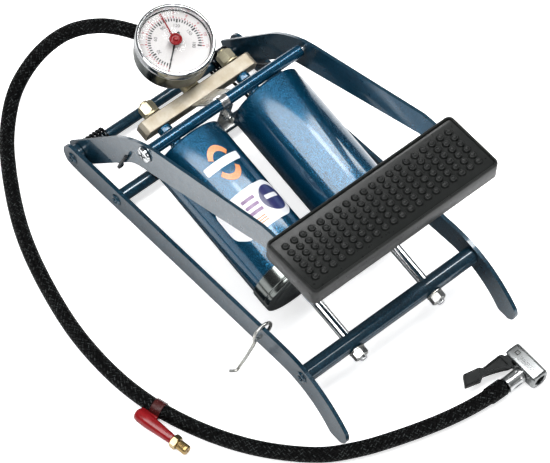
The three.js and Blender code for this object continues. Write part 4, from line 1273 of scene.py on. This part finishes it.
def build_clip(path):
    lengths = [0.0]
    for a, b in zip(path, path[1:]):
        lengths.append(lengths[-1] + (b - a).length)
    i = next(k for k, value in enumerate(lengths) if value >= lengths[-1] * CLIP["at"])
    along = (path[i + 1] - path[i - 1]).normalized()
    turn = Matrix.Rotation(math.atan2(along.x, -along.y), 4, "Z")
    place = DESIGN @ Matrix.Translation(path[i]) @ turn
    strap = turned([(5.7, -4), (6.5, -4), (6.5, 4), (5.7, 4)], 48, 0.35, True)
    on_hose("clip_strap", strap, place, STRAP, "red_plastic", "adapter_clip")
    web = block(5.4, 14, 4.6)
    on_hose("clip_web", web, place @ at(-7.9, 3.2, -0.9), RED, "red_plastic", edge=1.4)
    socket = place @ at(CLIP["out"], 0, CLIP["drop"]) @ Matrix.Rotation(math.radians(CLIP["turn"]), 4, "Z")
    body = [
        (0, -11.4), (1.9, -11.5), (1.9, -21.5), (3.4, -21.5), (4.2, -10.5), (5.0, 0), (5.0, 7.0),
        (4.3, 10.2), (2.3, 11.5), (0, 11.5),
    ]
    on_hose("clip_socket", turned(body, 56, 0.8), socket, RED, "red_plastic")
    build_adapter(socket)


def build_adapter(socket):
    """The spare nozzle: a stem in the socket, a hexagon, a threaded stretch and a hollow tip."""
    front = -21.5
    stem = [(0, front + 8.8), (1.6, front + 8.8), (1.6, front - 0.3), (2.9, front - 0.4)]
    stem += [(2.9, front - 4.6), (2.9, front - 5.0), (2.9, front - 5.6)]
    thread = [(3.5 if k % 2 else 3.8, front - 6.0 - 0.6 * k) for k in range(9)]
    tip = [(3.7, front - 12.6), (3.0, front - 13.4), (1.1, front - 13.2), (1.0, front - 6), (0, front - 6)]
    shape = together(turned(stem + thread + tip, 40, 0.12), hexagon(4.6, front - 5.0, front - 0.3, 0.14))
    on_hose("adapter_nozzle", shape, socket, BRASS, "brass", "brass_adapter")


def hook_path():
    points = []
    steps = 30
    for i in range(steps + 1):
        a = math.pi + 0.5 - i / steps * 1.86 * math.pi
        drift = (i * 14 / steps - 12.5) * 0.16
        points.append((HOOK["ring"] * math.cos(a), drift, HOOK["ring"] * math.sin(a)))
    points.reverse()
    return points + [(-13, -2.2, -14), (-19.5, -1, -26), (-22, -1, -28.6), (-27, 1.4, -27.4)]


def build_hook():
    wire, _ = swept(through(hook_path(), 4), HOOK["wire"], 12)
    place = DESIGN @ at(-RAIL["spacing"] / 2, -HOOK["u"], HOOK["z"])
    piece("hook_wire", wire, place, "hook", ZINC, "plated_steel", "latch_hook")


# Stage: pale floor, overhead soft boxes and the camera
def build_floor():
    """A pale floor. It glows a little for the camera only, and mirrored in the pump's metal it is dark under
    the pump, where little light reaches."""
    s = Shader("pale_floor")
    s.set(
        Base_Color=s.mix(s.range(s.noise(6, 3), 0.3, 0.7, 0, 1), (0.93, 0.93, 0.93), (0.95, 0.95, 0.95)),
        Roughness=0.9,
        Emission_Color=(1.0, 1.0, 1.0),
        Emission_Strength=s.math("MULTIPLY", s.node("LightPath", "Is Camera Ray"), 0.6),
    )
    # Painted shadow: in mirror rays only, the floor under the pump is mixed towards a dark diffuse.
    centre = middle("middle_tie_tube")
    x, y, _ = [s.node("SeparateXYZ", i, None, Vector=s.where) for i in range(3)]
    x = s.math("ABSOLUTE", s.math("SUBTRACT", x, centre.x))
    y = s.math("ABSOLUTE", s.math("SUBTRACT", y, centre.y - 0.06))
    inside = s.math("MULTIPLY", s.range(x, 0.07, 0.12, 1, 0), s.range(y, 0.14, 0.22, 1, 0))
    glossy = s.node("LightPath", "Is Glossy Ray")
    shade = s.node("BsdfDiffuse", 0, None, Color=(0.05, 0.055, 0.06))
    share = s.math("MULTIPLY", s.math("MULTIPLY", inside, glossy), 0.9)
    both = s.node("MixShader", 0, None, i0=share, i1=s.bsdf.outputs[0], i2=shade)
    s.tree.links.new(both, s.output.inputs["Surface"])
    mesh = bpy.data.meshes.new("floor")
    corners = [(x * FLOOR_HALF, y * FLOOR_HALF, 0) for x, y in ((-1, -1), (1, -1), (1, 1), (-1, 1))]
    mesh.from_pydata(corners, [], [(0, 1, 2, 3)])
    mesh.materials.append(s.material)
    floor = bpy.data.objects.new("floor", mesh)
    floor.location.z = -0.0004
    bpy.context.scene.collection.objects.link(floor)


def soft_box(name, direction, distance, width, length, power):
    """A rectangular light in a direction from the middle of the pump, facing it."""
    light = bpy.data.lights.new(name, "AREA")
    light.shape = "RECTANGLE"
    light.size = width
    light.size_y = length
    light.energy = power
    thing = bpy.data.objects.new(name, light)
    out = Vector(direction).normalized()
    spot = middle("pedal_pad") * 0.3 + out * distance
    thing.matrix_world = Matrix.Translation(spot) @ out.to_track_quat("Z", "Y").to_matrix().to_4x4()
    bpy.context.scene.collection.objects.link(thing)


def build_lights():
    world = bpy.data.worlds.new("studio")
    bpy.context.scene.world = world
    world.use_nodes = True
    tree = world.node_tree
    where = tree.nodes.new("ShaderNodeTexCoord").outputs["Generated"]
    split = tree.nodes.new("ShaderNodeSeparateXYZ")
    tree.links.new(where, split.inputs[0])
    ramp = tree.nodes.new("ShaderNodeValToRGB")
    ramp.color_ramp.elements[0].position = 0.1
    ramp.color_ramp.elements[0].color = (0.10, 0.11, 0.12, 1)
    ramp.color_ramp.elements[1].position = 0.75
    ramp.color_ramp.elements[1].color = (0.42, 0.43, 0.44, 1)
    tree.links.new(split.outputs[2], ramp.inputs[0])
    tree.links.new(ramp.outputs[0], tree.nodes["Background"].inputs[0])
    # In mirror rays the sky is dimmed, so that chrome keeps its dark parts.
    mirrored = tree.nodes.new("ShaderNodeLightPath").outputs["Is Glossy Ray"]
    dim = tree.nodes.new("ShaderNodeMapRange")
    dim.inputs["To Min"].default_value = 1.0
    dim.inputs["To Max"].default_value = 0.4
    tree.links.new(mirrored, dim.inputs["Value"])
    tree.links.new(dim.outputs[0], tree.nodes["Background"].inputs[1])
    soft_box("overhead_box", (-0.276, 0.04, 0.96), 2.2, 0.75, 3.2, 60)
    soft_box("side_strip", (0.5525, 0.064, 0.831), 2.4, 0.35, 2.2, 26)
    soft_box("front_fill", (-0.35, -0.75, 0.55), 3.0, 2.0, 1.2, 16)


def build_camera():
    a, e, roll = (math.radians(CAMERA[key]) for key in ("azimuth", "elevation", "roll"))
    back = Vector((math.sin(a) * math.cos(e), -math.cos(a) * math.cos(e), math.sin(e)))
    right = Vector((math.cos(a), math.sin(a), 0))
    up = back.cross(right)
    across = right * math.cos(roll) + up * math.sin(roll)
    above = up * math.cos(roll) - right * math.sin(roll)
    place = DESIGN @ (Vector(CAMERA["target"]) + back * CAMERA["distance"])
    data = bpy.data.cameras.new("camera")
    data.lens = CAMERA["lens"]
    data.sensor_width = 36
    data.clip_end = 50
    camera = bpy.data.objects.new("camera", data)
    matrix = Matrix((across, above, back)).transposed().to_4x4()
    camera.matrix_world = Matrix.Translation(place) @ matrix
    bpy.context.scene.collection.objects.link(camera)
    bpy.context.scene.camera = camera


build_frame()
build_lever()
build_rods()
build_barrels()
build_labels()
build_head()
build_gauge()
hose_path = build_hose()
build_ferrule()
build_chuck()
build_thumb()
build_clip(hose_path)
build_hook()
build_floor()
build_lights()
build_camera()
bpy.context.scene.view_settings.view_transform = "Standard"
bpy.context.scene.view_settings.look = "None"
